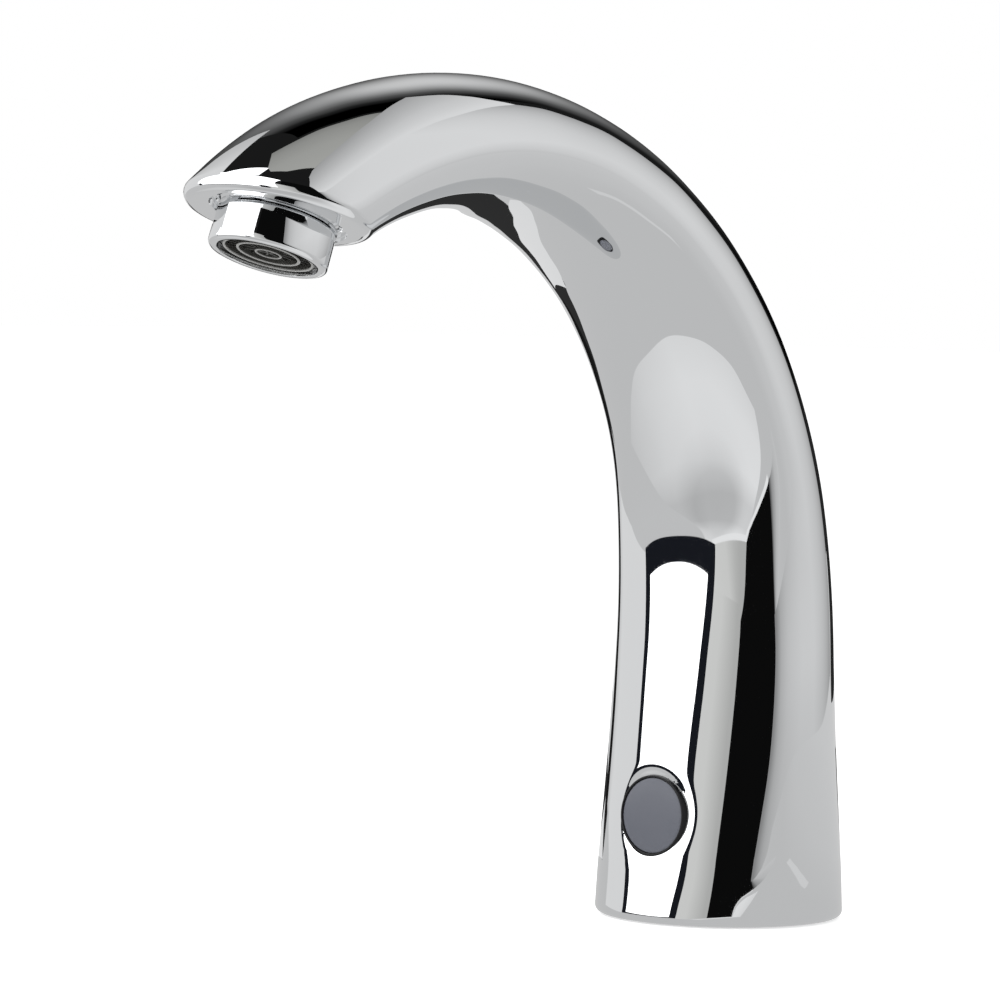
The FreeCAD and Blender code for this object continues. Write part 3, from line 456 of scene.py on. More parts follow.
class Nodes:
    """A material's node tree, with short ways to add and join nodes."""

    def __init__(self, name: str) -> None:
        """Starts a material with a Principled shader.

        Args:
            name: Name of the material.
        """
        self.material = bpy.data.materials.new(name)
        self.material.use_nodes = True
        self.tree = self.material.node_tree
        self.shader = self.tree.nodes["Principled BSDF"]
        self.place = self.add("ShaderNodeTexCoord").outputs["Object"]

    def add(self, kind: str, **settings: object) -> bpy.types.Node:
        """Adds a node.

        Args:
            kind: Blender's type of node.
            **settings: The node's settings.

        Returns:
            The node.
        """
        node = self.tree.nodes.new(kind)
        for key, setting in settings.items():
            setattr(node, key, setting)
        return node

    def join(self, start: bpy.types.NodeSocket, end: bpy.types.NodeSocket) -> None:
        """Joins two sockets."""
        self.tree.links.new(start, end)

    def plain(self, **numbers: object) -> None:
        """Sets the shader's own sockets, by their names with underscores."""
        for key, number in numbers.items():
            self.shader.inputs[key.replace("_", " ").title().replace("Ior", "IOR")].default_value = number

    def noise(self, scale: float, detail: float = 2.0, stretch: Triple = (1, 1, 1)) -> bpy.types.NodeSocket:
        """A noise in the object's own coordinates.

        Args:
            scale: Waves to the metre.
            detail: Layers of finer noise.
            stretch: Factors along the axes.

        Returns:
            The noise's height, from 0 to 1.
        """
        mapping = self.add("ShaderNodeMapping")
        mapping.inputs["Scale"].default_value = stretch
        self.join(self.place, mapping.inputs["Vector"])
        texture = self.add("ShaderNodeTexNoise")
        texture.inputs["Scale"].default_value = scale
        texture.inputs["Detail"].default_value = detail
        self.join(mapping.outputs["Vector"], texture.inputs["Vector"])
        return texture.outputs["Fac"]

    def spread(self, source: bpy.types.NodeSocket, low: float, high: float) -> bpy.types.NodeSocket:
        """Maps the middle of a source on to a range.

        Args:
            source: What is mapped, such as a noise.
            low: Value at the lower end of NOISE_SPAN and below.
            high: Value at its upper end and above.

        Returns:
            The mapped value.
        """
        node = self.add("ShaderNodeMapRange")
        for socket, number in zip(("From Min", "From Max", "To Min", "To Max"), (*NOISE_SPAN, low, high)):
            node.inputs[socket].default_value = number
        self.join(source, node.inputs["Value"])
        return node.outputs["Result"]

    def roughen(self, source: bpy.types.NodeSocket, low: float, high: float) -> None:
        """Lets the roughness run between two values."""
        self.join(self.spread(source, low, high), self.shader.inputs["Roughness"])

    def tint(self, source: bpy.types.NodeSocket, low: Sequence[float], high: Sequence[float]) -> None:
        """Lets the base colour run between two colours.

        Args:
            source: What drives it, from 0 to 1.
            low: Colour at the lower end of NOISE_SPAN and below.
            high: Colour at its upper end and above.
        """
        ramp = self.add("ShaderNodeValToRGB")
        for element, position, colour in zip(ramp.color_ramp.elements, NOISE_SPAN, (low, high)):
            element.position = position
            element.color = (*colour, 1)
        self.join(source, ramp.inputs["Fac"])
        self.join(ramp.outputs["Color"], self.shader.inputs["Base Color"])

    def bump(self, source: bpy.types.NodeSocket, height: float) -> None:
        """Adds a bump.

        Args:
            source: Its shape, from 0 to 1.
            height: Its height, in millimetres.
        """
        node = self.add("ShaderNodeBump")
        node.inputs["Distance"].default_value = height * MM
        self.join(source, node.inputs["Height"])
        self.join(node.outputs["Normal"], self.shader.inputs["Normal"])


@dataclass(frozen=True)
class Chrome:
    """Polished chrome plating over a hand-finished casting."""

    name: str = "polished_chrome"
    colour: Triple = (0.80, 0.81, 0.82)
    waves: float = 34.0
    wave_height: float = 0.7

    def material(self) -> bpy.types.Material:
        """Builds the material.

        Returns:
            The material.
        """
        nodes = Nodes(self.name)
        nodes.plain(metallic=1.0)
        nodes.tint(nodes.noise(9.0), self.colour, tuple(c * 0.985 for c in self.colour))
        nodes.roughen(nodes.noise(420.0, 3.0), 0.012, 0.022)
        nodes.bump(nodes.noise(self.waves, 1.0, (1.0, 1.0, 0.7)), self.wave_height)
        return nodes.material


@dataclass(frozen=True)
class Moulded:
    """Moulded plastic or rubber, with a fine mottle and grain."""

    name: str
    colour: Triple
    roughness: float = 0.45
    grain: float = 0.01
    mottle: float = 0.12
    shine: float = 0.5

    def material(self) -> bpy.types.Material:
        """Builds the material.

        Returns:
            The material.
        """
        nodes = Nodes(self.name)
        nodes.plain(specular_ior_level=self.shine)
        low = tuple(c * (1 - self.mottle) for c in self.colour)
        high = tuple(min(1.0, c * (1 + self.mottle)) for c in self.colour)
        nodes.tint(nodes.noise(160.0, 3.0), low, high)
        nodes.roughen(nodes.noise(900.0), self.roughness * 0.85, self.roughness * 1.15)
        nodes.bump(nodes.noise(2600.0), self.grain)
        return nodes.material


@dataclass(frozen=True)
class RingedPlastic:
    """Dark moulded plastic whose raised ring faces nearest the mouth are painted lighter than the deeper
    parts, as a painted highlight.
    """

    name: str
    axis: Sequence[float]
    edge: float
    fade: float = 0.25
    patchiness: float = 0.25
    colour: Triple = (0.045, 0.044, 0.04)
    highlight_colour: Triple = (0.3, 0.3, 0.29)

    def material(self) -> bpy.types.Material:
        """Builds the material.

        Returns:
            The material.
        """
        nodes = Nodes(self.name)
        height = nodes.add("ShaderNodeVectorMath", operation="DOT_PRODUCT")
        height.inputs[1].default_value = self.axis
        nodes.join(nodes.place, height.inputs[0])
        span = nodes.add("ShaderNodeMapRange")
        span.inputs["From Min"].default_value = (self.edge - self.fade) * MM
        span.inputs["From Max"].default_value = (self.edge + self.fade) * MM
        nodes.join(height.outputs["Value"], span.inputs["Value"])
        # Painted highlight: faces below the edge height are painted lighter than the deeper parts, in
        # patches set by noise.
        highlight_mask = nodes.add("ShaderNodeMath", operation="MULTIPLY_ADD")
        highlight_mask.inputs[1].default_value = self.patchiness
        nodes.join(nodes.noise(700.0), highlight_mask.inputs[0])
        nodes.join(span.outputs["Result"], highlight_mask.inputs[2])
        nodes.tint(highlight_mask.outputs["Value"], self.highlight_colour, self.colour)
        nodes.roughen(nodes.noise(900.0), 0.3, 0.42)
        nodes.bump(nodes.noise(2600.0), 0.003)
        return nodes.material


@dataclass(frozen=True)
class Machined:
    """Turned or stamped metal, with fine tool lines round Z."""

    name: str
    colour: Triple
    roughness: float = 0.28

    def material(self) -> bpy.types.Material:
        """Builds the material.

        Returns:
            The material.
        """
        nodes = Nodes(self.name)
        nodes.plain(metallic=1.0)
        nodes.tint(nodes.noise(70.0, 3.0), tuple(c * 0.88 for c in self.colour), self.colour)
        lines = nodes.noise(500.0, 3.0, (0.05, 0.05, 8.0))
        nodes.roughen(lines, self.roughness * 0.8, self.roughness * 1.25)
        nodes.bump(lines, 0.004)
        return nodes.material


@dataclass(frozen=True)
class DarkWindow:
    """Dark plastic that lets infra-red through, with a moulded gloss."""

    name: str = "window_plastic"
    colour: Triple = (0.118, 0.124, 0.146)
    shine: float = 0.25

    def material(self) -> bpy.types.Material:
        """Builds the material.

        Returns:
            The material.
        """
        nodes = Nodes(self.name)
        nodes.plain(specular_ior_level=self.shine)
        nodes.tint(nodes.noise(60.0), self.colour, tuple(c * 1.05 for c in self.colour))
        nodes.roughen(nodes.noise(500.0), 0.16, 0.2)
        nodes.bump(nodes.noise(120.0, 1.0), 0.002)
        return nodes.material


# The pieces


@dataclass
class Casting:
    """The one-piece column and spout, with its window hole and threaded outlet."""

    line: SpoutLine = field(default_factory=SpoutLine)
    outlet: Outlet = field(default_factory=Outlet)
    window: Window = field(default_factory=Window)
    around: int = 216
    step: float = 2.0
    fine_step: float = 0.5
    fine_lengths: tuple[float, float] = (14.4, 46.4)
    wall: float = 3.0
    rim_radius: float = 2.0
    rim_steps: int = 8
    rim_lean: float = math.radians(150)
    halvings: int = 50
    foot_edge: float = 1.6
    recess_radius: float = 22.7
    recess_depth: float = 6.0
    cap_lean: float = math.radians(106)
    nose_from: float = 196.0
    nose_rings: int = 36
    cap_shares: tuple[float, ...] = (1e-6, 0.35, 0.7, 0.97)
    inside_step: float = 6.0
    thread_crest: float = 12.0
    thread_root: float = 12.45
    thread_start: float = 1.5
    thread_ridges: int = 4
    window_gap: float = 0.06
    cutter_ends: Spot = (-9.0, 6.0)
    dish_width: float = 3.2
    dish_depth: float = 0.3
    front_depth: float = 8.0
    swell: float = 0.15
    swell_length: float = 75.0
    swell_start: float = 5.0
    swell_rise: float = 8.0
    swell_fall: float = 30.0
    swell_end: float = 120.0
    swells_around: int = 4
    swell_turn: float = math.radians(-73.5)
    shine_reach: float = 22.0
    shine_slack: float = 0.02
    shine_sag: float = 0.05
    face_match: float = 0.95
    normal_match: float = 0.9

    @property
    def turns(self) -> np.ndarray:
        """Angles round a ring."""
        return np.arange(self.around) * (2 * math.pi / self.around)

    def ring(self, length: float, inset: float = 0.0, share: float = 1.0) -> np.ndarray:
        """One ring across the centre line.

        Args:
            length: Its place along the centre line.
            inset: How far it is drawn in.
            share: Share of its size to which it is then shrunk.

        Returns:
            Its points.
        """
        lengths = np.full(self.around, length)
        points = self.line.points(lengths, self.turns, inset)
        middle = points.mean(axis=0)
        return middle + (points - middle) * share

    def flat_ring(self, radius: float, height: float) -> np.ndarray:
        """A round ring about the column's axis."""
        return np.stack([radius * np.cos(self.turns), radius * np.sin(self.turns),
                         np.full(self.around, height)], -1)

    def inside(self) -> list[np.ndarray]:
        """Rings from the end of the hollow down to the foot.

        Returns:
            The rings.
        """
        end = self.line.length_at(self.cap_lean)
        rows = [self.ring(end, self.wall, share) for share in self.cap_shares]
        lengths = np.arange(end - 0.4, self.recess_depth, -self.inside_step)
        rows += [self.ring(length, self.wall) for length in lengths]
        rows.append(self.ring(self.recess_depth, self.wall))
        return rows

    def foot(self) -> list[np.ndarray]:
        """Rings round the recess, under the foot and round its outer edge.

        Returns:
            The rings.
        """
        rows = [self.flat_ring(radius, height) for radius, height in (
            (self.recess_radius, self.recess_depth), (self.recess_radius, 3.0),
            (self.recess_radius, 0.25), (self.recess_radius + 0.25, 0.0))]
        outer = self.line.foot_radius - self.foot_edge
        rows.append(self.flat_ring((self.recess_radius + outer) / 2, 0.0))
        for angle in np.radians(np.linspace(0, 90, 7)):
            height, inset = self.foot_edge * (1 - math.cos(angle)), self.foot_edge * (1 - math.sin(angle))
            rows.append(self.ring(height, inset))
        return rows

    def rim_lengths(self) -> np.ndarray:
        """Where a ball of the rim's radius rolls along the outside, touching the cut.

        Returns:
            Lengths along the centre line, one for each angle.
        """
        low = np.full(self.around, self.nose_from)
        high = np.full(self.around, self.line.length_at(self.rim_lean))
        for _ in range(self.halvings):
            middle = (low + high) / 2
            normals = self.line.normals(middle, self.turns)
            ball = self.line.points(middle, self.turns) - self.rim_radius * normals
            past = (ball - self.outlet.centre) @ self.outlet.down > -self.rim_radius
            high = np.where(past, middle, high)
            low = np.where(past, low, middle)
        return (low + high) / 2

    def outside(self) -> list[np.ndarray]:
        """Rings up the column and along the spout to its rounded rim.

        Returns:
            The rings, close together beside the window.
        """
        low, high = self.fine_lengths
        lengths = np.concatenate([
            np.arange(self.foot_edge + 0.8, low, self.step),
            np.arange(low, high, self.fine_step),
            np.arange(high, self.nose_from, self.step)])
        rows = [self.polished(self.ring(length), length) for length in lengths]
        ends = self.rim_lengths()
        start = lengths[-1]
        for share in np.linspace(0, 1, self.nose_rings)[1:]:
            rows.append(self.line.points(start + (ends - start) * share, self.turns))
        surface = self.line.normals(ends, self.turns)
        ball = self.line.points(ends, self.turns) - self.rim_radius * surface
        angle = np.arccos(np.clip(surface @ self.outlet.down, -1, 1))[:, None]
        for share in np.linspace(0, 1, self.rim_steps + 1)[1:]:
            normal = np.sin((1 - share) * angle) * surface + np.sin(share * angle) * self.outlet.down
            rows.append(ball + self.rim_radius * normal / np.sin(angle))
        return rows

    def polished(self, points: np.ndarray, length: float) -> np.ndarray:
        """Gives a ring the faint swells that polishing leaves, and the soft dish round the window.

        Args:
            points: The ring.
            length: Its place along the centre line.

        Returns:
            The ring as polished.
        """
        fade = np.clip((length - self.foot_edge) / self.swell_rise, 0, 1)
        fade = fade * np.clip((self.swell_end - length) / self.swell_fall, 0, 1)
        along = math.cos(2 * math.pi * (length - self.swell_start) / self.swell_length)
        swell = self.swell * fade * along * np.sin(self.swells_around * (self.turns - self.swell_turn))
        normals = self.line.normals(np.full(self.around, length), self.turns)
        points = points + normals * swell[:, None]
        place = self.window.placed(0)
        reach = points - np.array(place.translation) / MM
        axis = np.array(place.col[2][:3])
        ahead = reach @ axis
        radius = np.linalg.norm(reach - ahead[:, None] * axis, axis=-1)
        dish = np.clip(1 - (radius - self.window.radius) / self.dish_width, 0, 1)**2
        dish = dish * (ahead > -self.front_depth)
        return points - axis * (self.dish_depth * dish)[:, None]

    def mouth(self, rim: np.ndarray) -> list[np.ndarray]:
        """Rings over the flat cut, into the recess, down the threaded bore and across its end.

        Args:
            rim: The last ring of the rounded rim, on the cut.

        Returns:
            The rings, ending in a pole.
        """
        across = np.array([1.0, 0.0, 0.0])
        ahead = np.cross(self.outlet.down, across)
        flat = rim - self.outlet.centre
        angle = np.arctan2(flat @ ahead, flat @ across)

        def circle(radius: float, above: float) -> np.ndarray:
            """A round ring on the aerator's axis, above the cut."""
            ring = radius * (np.cos(angle)[:, None] * across + np.sin(angle)[:, None] * ahead)
            return self.outlet.centre + ring - self.outlet.down * above

        edge = circle(13.65, 0.0)
        rows = [rim + (edge - rim) * share for share in (0.25, 0.5, 0.75, 1.0)]
        profile = [(13.5, 0.15), (13.5, 0.85), (13.35, 1.0), (12.5, 1.0)]
        for i in range(self.thread_ridges):
            above = self.thread_start + i
            profile += [(self.thread_crest, above), (self.thread_root, above + 0.5)]
        profile += [(self.thread_crest, 5.6), (self.thread_crest, 6.0), (6.1, 6.0), (6.0, 6.1),
                    (6.0, 11.9), (4.0, 12.0), (1e-6, 12.0)]
        return rows + [circle(radius, above) for radius, above in profile]

    def window_cutter(self) -> bpy.types.Object:
        """Models the round cutter for the window's hole.

        Returns:
            The cutter, in its place.
        """
        bore = self.window.radius + self.window_gap
        low, high = self.cutter_ends
        cutter = lathe("window_cutter", [(0, low), (bore, low), (bore, high), (0, high)], segments=128)
        settle(cutter, self.window.placed(0))
        return cutter

    def build(self) -> bpy.types.Object:
        """Models the casting.

        Returns:
            The casting with its window hole.
        """
        outside = self.outside()
        rows = self.inside() + self.foot() + outside + self.mouth(outside[-1])
        casting = wrap("casting", np.array(rows))
        smooth(casting)
        uncut = casting.data.copy()
        carve(casting, self.window_cutter())
        smooth(casting)
        self.keep_shine(casting, uncut)
        return casting

    def keep_shine(self, casting: bpy.types.Object, uncut: bpy.types.Mesh) -> None:
        """Gives the outside near the window's hole the normals that it had before the cut.

        Args:
            casting: The casting with its hole.
            uncut: Its mesh before the cut.
        """
        middle = self.window.placed(0).translation
        uncut.calc_loop_triangles()
        places = [vertex.co.copy() for vertex in uncut.vertices]
        faces = [tuple(triangle.vertices) for triangle in uncut.loop_triangles]
        tree = BVHTree.FromPolygons(places, faces)
        mesh = casting.data
        normals = [corner.vector.copy() for corner in mesh.corner_normals]
        for polygon in mesh.polygons:
            if (polygon.center - middle).length > self.shine_reach * MM:
                continue
            _, normal, _, distance = tree.find_nearest(polygon.center)
            slack = self.shine_slack * MM + self.shine_sag * polygon.area**0.5
            if distance > slack or normal.dot(polygon.normal) < self.face_match:
                continue
            for loop in polygon.loop_indices:
                place = mesh.vertices[mesh.loops[loop].vertex_index].co
                _, _, index, _ = tree.find_nearest(place)
                corners = faces[index]
                weights = triangle_weights(place, [places[i] for i in corners])
                parts = (uncut.vertices[i].normal * weight for i, weight in zip(corners, weights))
                blended = sum(parts, Vector())
                if blended.dot(polygon.normal) > self.normal_match:
                    normals[loop] = blended.normalized()
        mesh.normals_split_custom_set(normals)
        bpy.data.meshes.remove(uncut)


def triangle_weights(place: Vector, corners: Sequence[Vector]) -> Triple:
    """Weights of a triangle's corners at a place on it.

    Args:
        place: The place.
        corners: The three corners.

    Returns:
        The weights, which add up to one.
    """
    first, second = corners[1] - corners[0], corners[2] - corners[0]
    reach = place - corners[0]
    a, b, c = first.dot(first), first.dot(second), second.dot(second)
    d, e = reach.dot(first), reach.dot(second)
    scale = a * c - b * b
    if scale == 0:
        return 1.0, 0.0, 0.0
    v = min(1.0, max(0.0, (c * d - b * e) / scale))
    w = min(1.0 - v, max(0.0, (a * e - b * d) / scale))
    return 1.0 - v - w, v, w


@dataclass
class Aerator:
    """The threaded sleeve with its spanner flats, and the jet former inside."""

    outlet: Outlet = field(default_factory=Outlet)
    radius: float = 11.85
    thread_radius: float = 11.95
    thread_root: float = 11.45
    thread_ridges: int = 3
    height: float = 12.1
    shoulder: float = 8.5
    flat_reach: float = 11.0
    flat_bottom: float = 3.4
    flat_overlap: float = 0.02
    flat_turn: float = math.radians(-31.6)
    cheek_width: float = 30.0
    cheek_depth: float = 4.0
    rib_foot: Triple = (0.96, 0.6, 1.0)
    jet_floor: float = 3.4
    # How far up from the jet's foot its faces are painted lighter, as a painted highlight.
    highlight_below: float = 1.0

    def sleeve(self) -> bpy.types.Object:
        """Models the sleeve: turned outline, thread ridges and two flats.

        Returns:
            The sleeve, in its place.
        """
        root, crest, shoulder = self.thread_root, self.thread_radius, self.shoulder
        outline = [(10.05, 0.0), (10.95, 0.0), (11.3, 0.08), (11.6, 0.3), (11.78, 0.6), (self.radius, 0.95),
                   (self.radius, shoulder - 0.3), (root, shoulder - 0.05)]
        for i in range(self.thread_ridges):
            outline += [(root, shoulder + 0.15 + i), (crest, shoulder + 0.55 + i),
                        (crest, shoulder + 0.7 + i), (root, shoulder + 1.1 + i)]
        outline += [(root, self.height - 0.05), (root - 0.05, self.height), (10.3, self.height),
                    (10.2, self.height - 0.1), (10.2, 2.3), (9.95, 2.2), (9.95, 0.12)]
        sleeve = lathe("aerator_sleeve", outline, segments=192)
        length = shoulder + self.flat_overlap - self.flat_bottom
        reach = self.flat_reach + self.cheek_depth / 2
        for side in (1, -1):
            start_clean()
            bpy.ops.mesh.primitive_cube_add(
                size=1, scale=(self.cheek_width * MM, self.cheek_depth * MM, length * MM),
                location=(0, side * reach * MM, (self.flat_bottom + length / 2) * MM))
            cheek = named("cheek")
            bpy.ops.object.transform_apply(location=True, rotation=True, scale=True)
            settle(cheek, Matrix.Rotation(self.flat_turn, 4, "Z"))
            carve(sleeve, cheek)
        soften(sleeve, width=0.06)
        smooth(sleeve)
        settle(sleeve, self.outlet.placed(-self.outlet.drop))
        return sleeve

    def ribs(self, name: str, count: int, inner: float, outer: float, width: float,
             low: float, high: float) -> bpy.types.Object:
        """A wreath of radial ribs: one is modelled, then copied round the axis.

        Args:
            name: Name of the piece.
            count: Ribs in the wreath.
            inner: Radius where they start.
            outer: Radius where they end.
            width: Their thickness.
            low: Their lower edge.
            high: Their root.

        Returns:
            The wreath as one piece.
        """
        start_clean()
        middle = (outer + inner) / 2
        bpy.ops.mesh.primitive_cube_add(
            size=1, scale=((outer - inner) * MM, width * MM, (high - low) * MM),
            location=(middle * MM, 0, (high + low) / 2 * MM))
        rib = named(name)
        bpy.ops.object.transform_apply(location=True, rotation=True, scale=True)
        bpy.ops.object.mode_set(mode="EDIT")
        select_faces(rib, lambda normal: normal.z < FACING_DOWN)
        bpy.ops.transform.resize(value=self.rib_foot, center_override=(middle * MM, 0, low * MM))
        bpy.ops.mesh.select_all(action="SELECT")
        bpy.ops.mesh.spin(steps=count, dupli=True, angle=2 * math.pi, center=(0, 0, 0), axis=(0, 0, 1))
        tidy_mesh()
        bpy.ops.object.mode_set(mode="OBJECT")
        return rib

    def jet(self) -> bpy.types.Object:
        """Models the jet former: ringed face, wreaths of ribs and a star in the middle.

        Returns:
            The jet former, in its place.
        """
        floor, root = self.jet_floor, self.jet_floor + 0.2
        outline = [(0, floor), (2.1, floor), (2.22, 0.95), (2.36, 0.82), (2.56, 0.82), (2.7, 0.95),
                   (2.8, floor), (5.65, floor), (5.78, 0.88), (5.92, 0.76), (6.2, 0.76), (6.34, 0.88),
                   (6.45, floor), (8.4, floor), (8.5, 0.76), (8.64, 0.64), (8.9, 0.64), (9.02, 0.78),
                   (9.06, 1.4), (9.15, 1.5), (9.8, 1.5), (9.85, 1.56), (9.85, 2.3), (10.08, 2.35),
                   (10.1, 9.4), (9.9, 9.55), (0, 9.55)]
        jet = lathe("jet_former", outline, segments=96)
        wreaths = [
            self.ribs("outer_ribs", 30, 6.35, 8.6, 0.3, 1.7, root),
            self.ribs("inner_ribs", 15, 2.6, 5.85, 0.34, 1.5, root),
            self.ribs("star", 5, 0.2, 2.3, 0.55, 1.1, root),
        ]
        only(*wreaths, jet)
        bpy.ops.object.join()
        smooth(jet)
        settle(jet, self.outlet.placed(-self.outlet.drop))
        return jet


@dataclass
class SensorWindow:
    """The dark lens and the thin ring that carries it."""

    window: Window = field(default_factory=Window)
    rim: float = 0.55
    bezel_depth: float = 2.6
    lens_depth: float = 2.0
    lens_gap: float = 0.05
    inset: float = 0.15

    def lens(self) -> bpy.types.Object:
        """Models the lens: a disc with an eased edge and a faint crown.

        Returns:
            The lens, in its place.
        """
        radius = self.window.radius - self.rim - self.lens_gap
        top = -self.inset
        low = top - self.lens_depth
        outline = [(0, low), (radius - 0.1, low), (radius, low + 0.1), (radius, top - 0.28),
                   (radius - 0.06, top - 0.17), (radius - 0.2, top - 0.1), (radius - 0.5, top - 0.07),
                   (radius * 0.6, top - 0.02), (0, top)]
        lens = lathe("window_lens", outline, segments=96)
        smooth(lens)
        settle(lens, self.window.placed(0))
        return lens

    def bezel(self) -> bpy.types.Object:
        """Models the ring, rounded at its front.

        Returns:
            The ring, in its place.
        """
        outer = self.window.radius
        inner = outer - self.rim
        outline = [(inner, -self.bezel_depth), (outer, -self.bezel_depth), (outer, -0.3),
                   (outer - 0.08, -0.1), (outer - 0.26, 0.0), (inner + 0.2, 0.0), (inner + 0.06, -0.07),
                   (inner, -0.2)]
        bezel = lathe("window_bezel", outline, segments=128)
        smooth(bezel)
        settle(bezel, self.window.placed(0))
        return bezel


@dataclass
class FootFittings:
    """The rubber ring and the grommet that show from below."""

    seal_inner: float = 20.45
    seal_outer: float = 22.55
    grommet_place: float = 15.4

    def seal(self) -> bpy.types.Object:
        """Models the ring with a rounded lip.

        Returns:
            The ring.
        """
        inner, outer = self.seal_inner, self.seal_outer
        middle = (inner + outer) / 2
        outline = [(inner, 0.35), (middle - 0.6, 0.16), (middle - 0.25, 0.06), (middle + 0.25, 0.06),
                   (middle + 0.6, 0.16), (outer, 0.35), (outer, 1.2), (outer - 0.15, 1.3),
                   (inner + 0.15, 1.3), (inner, 1.2)]
        seal = lathe("foot_seal", outline, segments=144)
        smooth(seal)
        return seal

    def grommet(self) -> bpy.types.Object:
        """Models the grommet with rounded flanges.

        Returns:
            The grommet, in its place.
        """
        outline = [(2.1, 0.3), (2.4, 0.03), (3.9, 0.0), (4.15, 0.2), (4.2, 0.5), (4.2, 1.15), (3.15, 1.2),
                   (3.15, 6.0), (4.1, 6.05), (4.2, 6.3), (4.2, 6.9), (3.9, 7.2), (2.4, 7.2), (2.1, 6.9)]
        grommet = lathe("lead_grommet", outline, segments=64)
        smooth(grommet)
        settle(grommet, Matrix.Translation((0, -self.grommet_place * MM, 0)))
        return grommet


@dataclass
class PlateScrews:
    """The three socket screws that hold the base plate, their heads seen from below."""

    head: float = 3.5
    head_height: float = 2.6
    shank: float = 2.0
    socket: float = 2.3
    socket_depth: float = 1.7
    turns: tuple[float, ...] = (90.0, 210.0, 330.0)

    def one(self, low: float, high: float) -> bpy.types.Object:
        """Models one screw on the axis: eased head, shank and six-sided socket.

        Args:
            low: Height of its head's face, in millimetres.
            high: Height of its end.

        Returns:
            The screw.
        """
        shoulder = low + self.head_height
        outline = [(0, low), (self.head - 0.5, low), (self.head - 0.15, low + 0.12),
                   (self.head, low + 0.45), (self.head, shoulder), (self.shank, shoulder),
                   (self.shank, high - 0.4), (self.shank - 0.4, high), (0, high)]
        screw = lathe("plate_screws", outline, segments=48)
        start_clean()
        bpy.ops.mesh.primitive_cylinder_add(
            vertices=6, radius=self.socket * MM, depth=2 * self.socket_depth * MM,
            location=(0, 0, low * MM))
        carve(screw, named("socket"))
        soften(screw, width=0.12)
        smooth(screw)
        return screw

    def build(self) -> bpy.types.Object:
        """Copies the screw to its three places and joins the copies.

        Returns:
            The three screws as one piece.
        """
        low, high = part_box("base_screws")
        circle = high.y / MM - self.head
        screw = self.one(low.z / MM, high.z / MM)
        copies = [screw]
        for _ in self.turns[1:]:
            copy = screw.copy()
            copy.data = screw.data.copy()
            bpy.context.collection.objects.link(copy)
            copies.append(copy)
        for copy, turn in zip(copies, self.turns):
            turned = Matrix.Rotation(math.radians(turn), 4, "Z")
            settle(copy, turned @ Matrix.Translation((circle * MM, 0, 0)))
        only(*reversed(copies))
        bpy.ops.object.join()
        return screw


@dataclass
class ClosingSpring:
    """The spring that pushes the plunger down, squeezed as the plunger lifts."""

    radius: float = 1.6
    wire: float = 0.5
    pitch: float = 1.1
    lift: float = 1.5
    steps_a_turn: int = 32

    def build(self) -> bpy.types.Object:
        """Models the wire's section and winds it up a helix.

        Returns:
            The spring, in its place.
        """
        low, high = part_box("plunger_spring")
        middle = (low + high) / 2
        rise = high.z - low.z - self.wire * MM
        turns = rise / (self.pitch * MM)
        start_clean()
        bpy.ops.mesh.primitive_circle_add(
            vertices=12, radius=self.wire / 2 * MM, fill_type="NGON", rotation=(math.pi / 2, 0, 0),
            location=(self.radius * MM, 0, 0))
        spring = named("closing_spring")
        bpy.ops.object.transform_apply(location=True, rotation=True, scale=True)
        steps = round(self.steps_a_turn * turns)
        bpy.ops.object.mode_set(mode="EDIT")
        bpy.ops.mesh.select_all(action="SELECT")
        for _ in range(steps):
            bpy.ops.mesh.extrude_region_move(TRANSFORM_OT_translate={"value": (0, 0, rise / steps)})
            bpy.ops.transform.rotate(
                value=-2 * math.pi * turns / steps, orient_axis="Z", center_override=(0, 0, 0))
        tidy_mesh()
        bpy.ops.object.mode_set(mode="OBJECT")
        smooth(spring)
        settle(spring, Matrix.Translation((middle.x, middle.y, low.z + self.wire / 2 * MM)))
        return spring

    def fit(self, finish: bpy.types.Material) -> None:
        """Dresses the spring and lets it ride on the tap's body, with a mesh of its own.

        Args:
            finish: Its material.
        """
        spring = self.build()
        hand_in(spring, Body.TAP, Slot.STAINLESS, finish, "plunger_spring")
        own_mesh(spring)


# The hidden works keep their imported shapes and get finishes


HIDDEN_FINISHES: dict[Machined | Moulded, tuple[str, ...]] = {
    Machined("machined_brass", (0.78, 0.6, 0.3)): ("base_plate", "inlet_riser"),
    Machined("stainless", (0.62, 0.61, 0.6)): (
        "valve_screws", "armature_tube", "plunger", "solenoid_yoke",
        "yoke_nut", "sensor_clip", "clip_screws"),
    Moulded("black_rubber", (0.02, 0.02, 0.021), 0.6): (
        "riser_seals", "diaphragm", "tube_seals", "sensor_seal", "aerator_washer", "solenoid_lead"),
    Moulded("valve_plastic", (0.78, 0.78, 0.75), 0.42): ("valve_body", "valve_cover", "diaphragm_plate"),
    Moulded("strainer_plastic", (0.5, 0.52, 0.53), 0.4): ("inlet_strainer", "aerator_strainer"),
    Moulded("regulator_plastic", (0.1, 0.35, 0.6), 0.4): ("flow_regulator",),
    Moulded("coil_plastic", (0.08, 0.08, 0.085), 0.5): ("solenoid_coil",),
    Moulded("tube_plastic", (0.86, 0.85, 0.8), 0.3): ("water_tube",),
    Moulded("case_plastic", (0.05, 0.05, 0.055), 0.45): ("sensor_housing", "light_baffle"),
    Moulded("board_laminate", (0.05, 0.24, 0.1), 0.35): ("sensor_board",),
    Moulded("diode_plastic", (0.1, 0.05, 0.12), 0.12): ("ir_emitter", "ir_receiver"),
}


def dress_hidden() -> None:
    """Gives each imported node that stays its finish."""
    for finish, nodes in HIDDEN_FINISHES.items():
        material = finish.material()
        for name in nodes:
            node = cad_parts[name]
            node.data.materials.clear()
            node.data.materials.append(material)
        log.info("%s: %s", finish.name, ", ".join(nodes))


# Studio


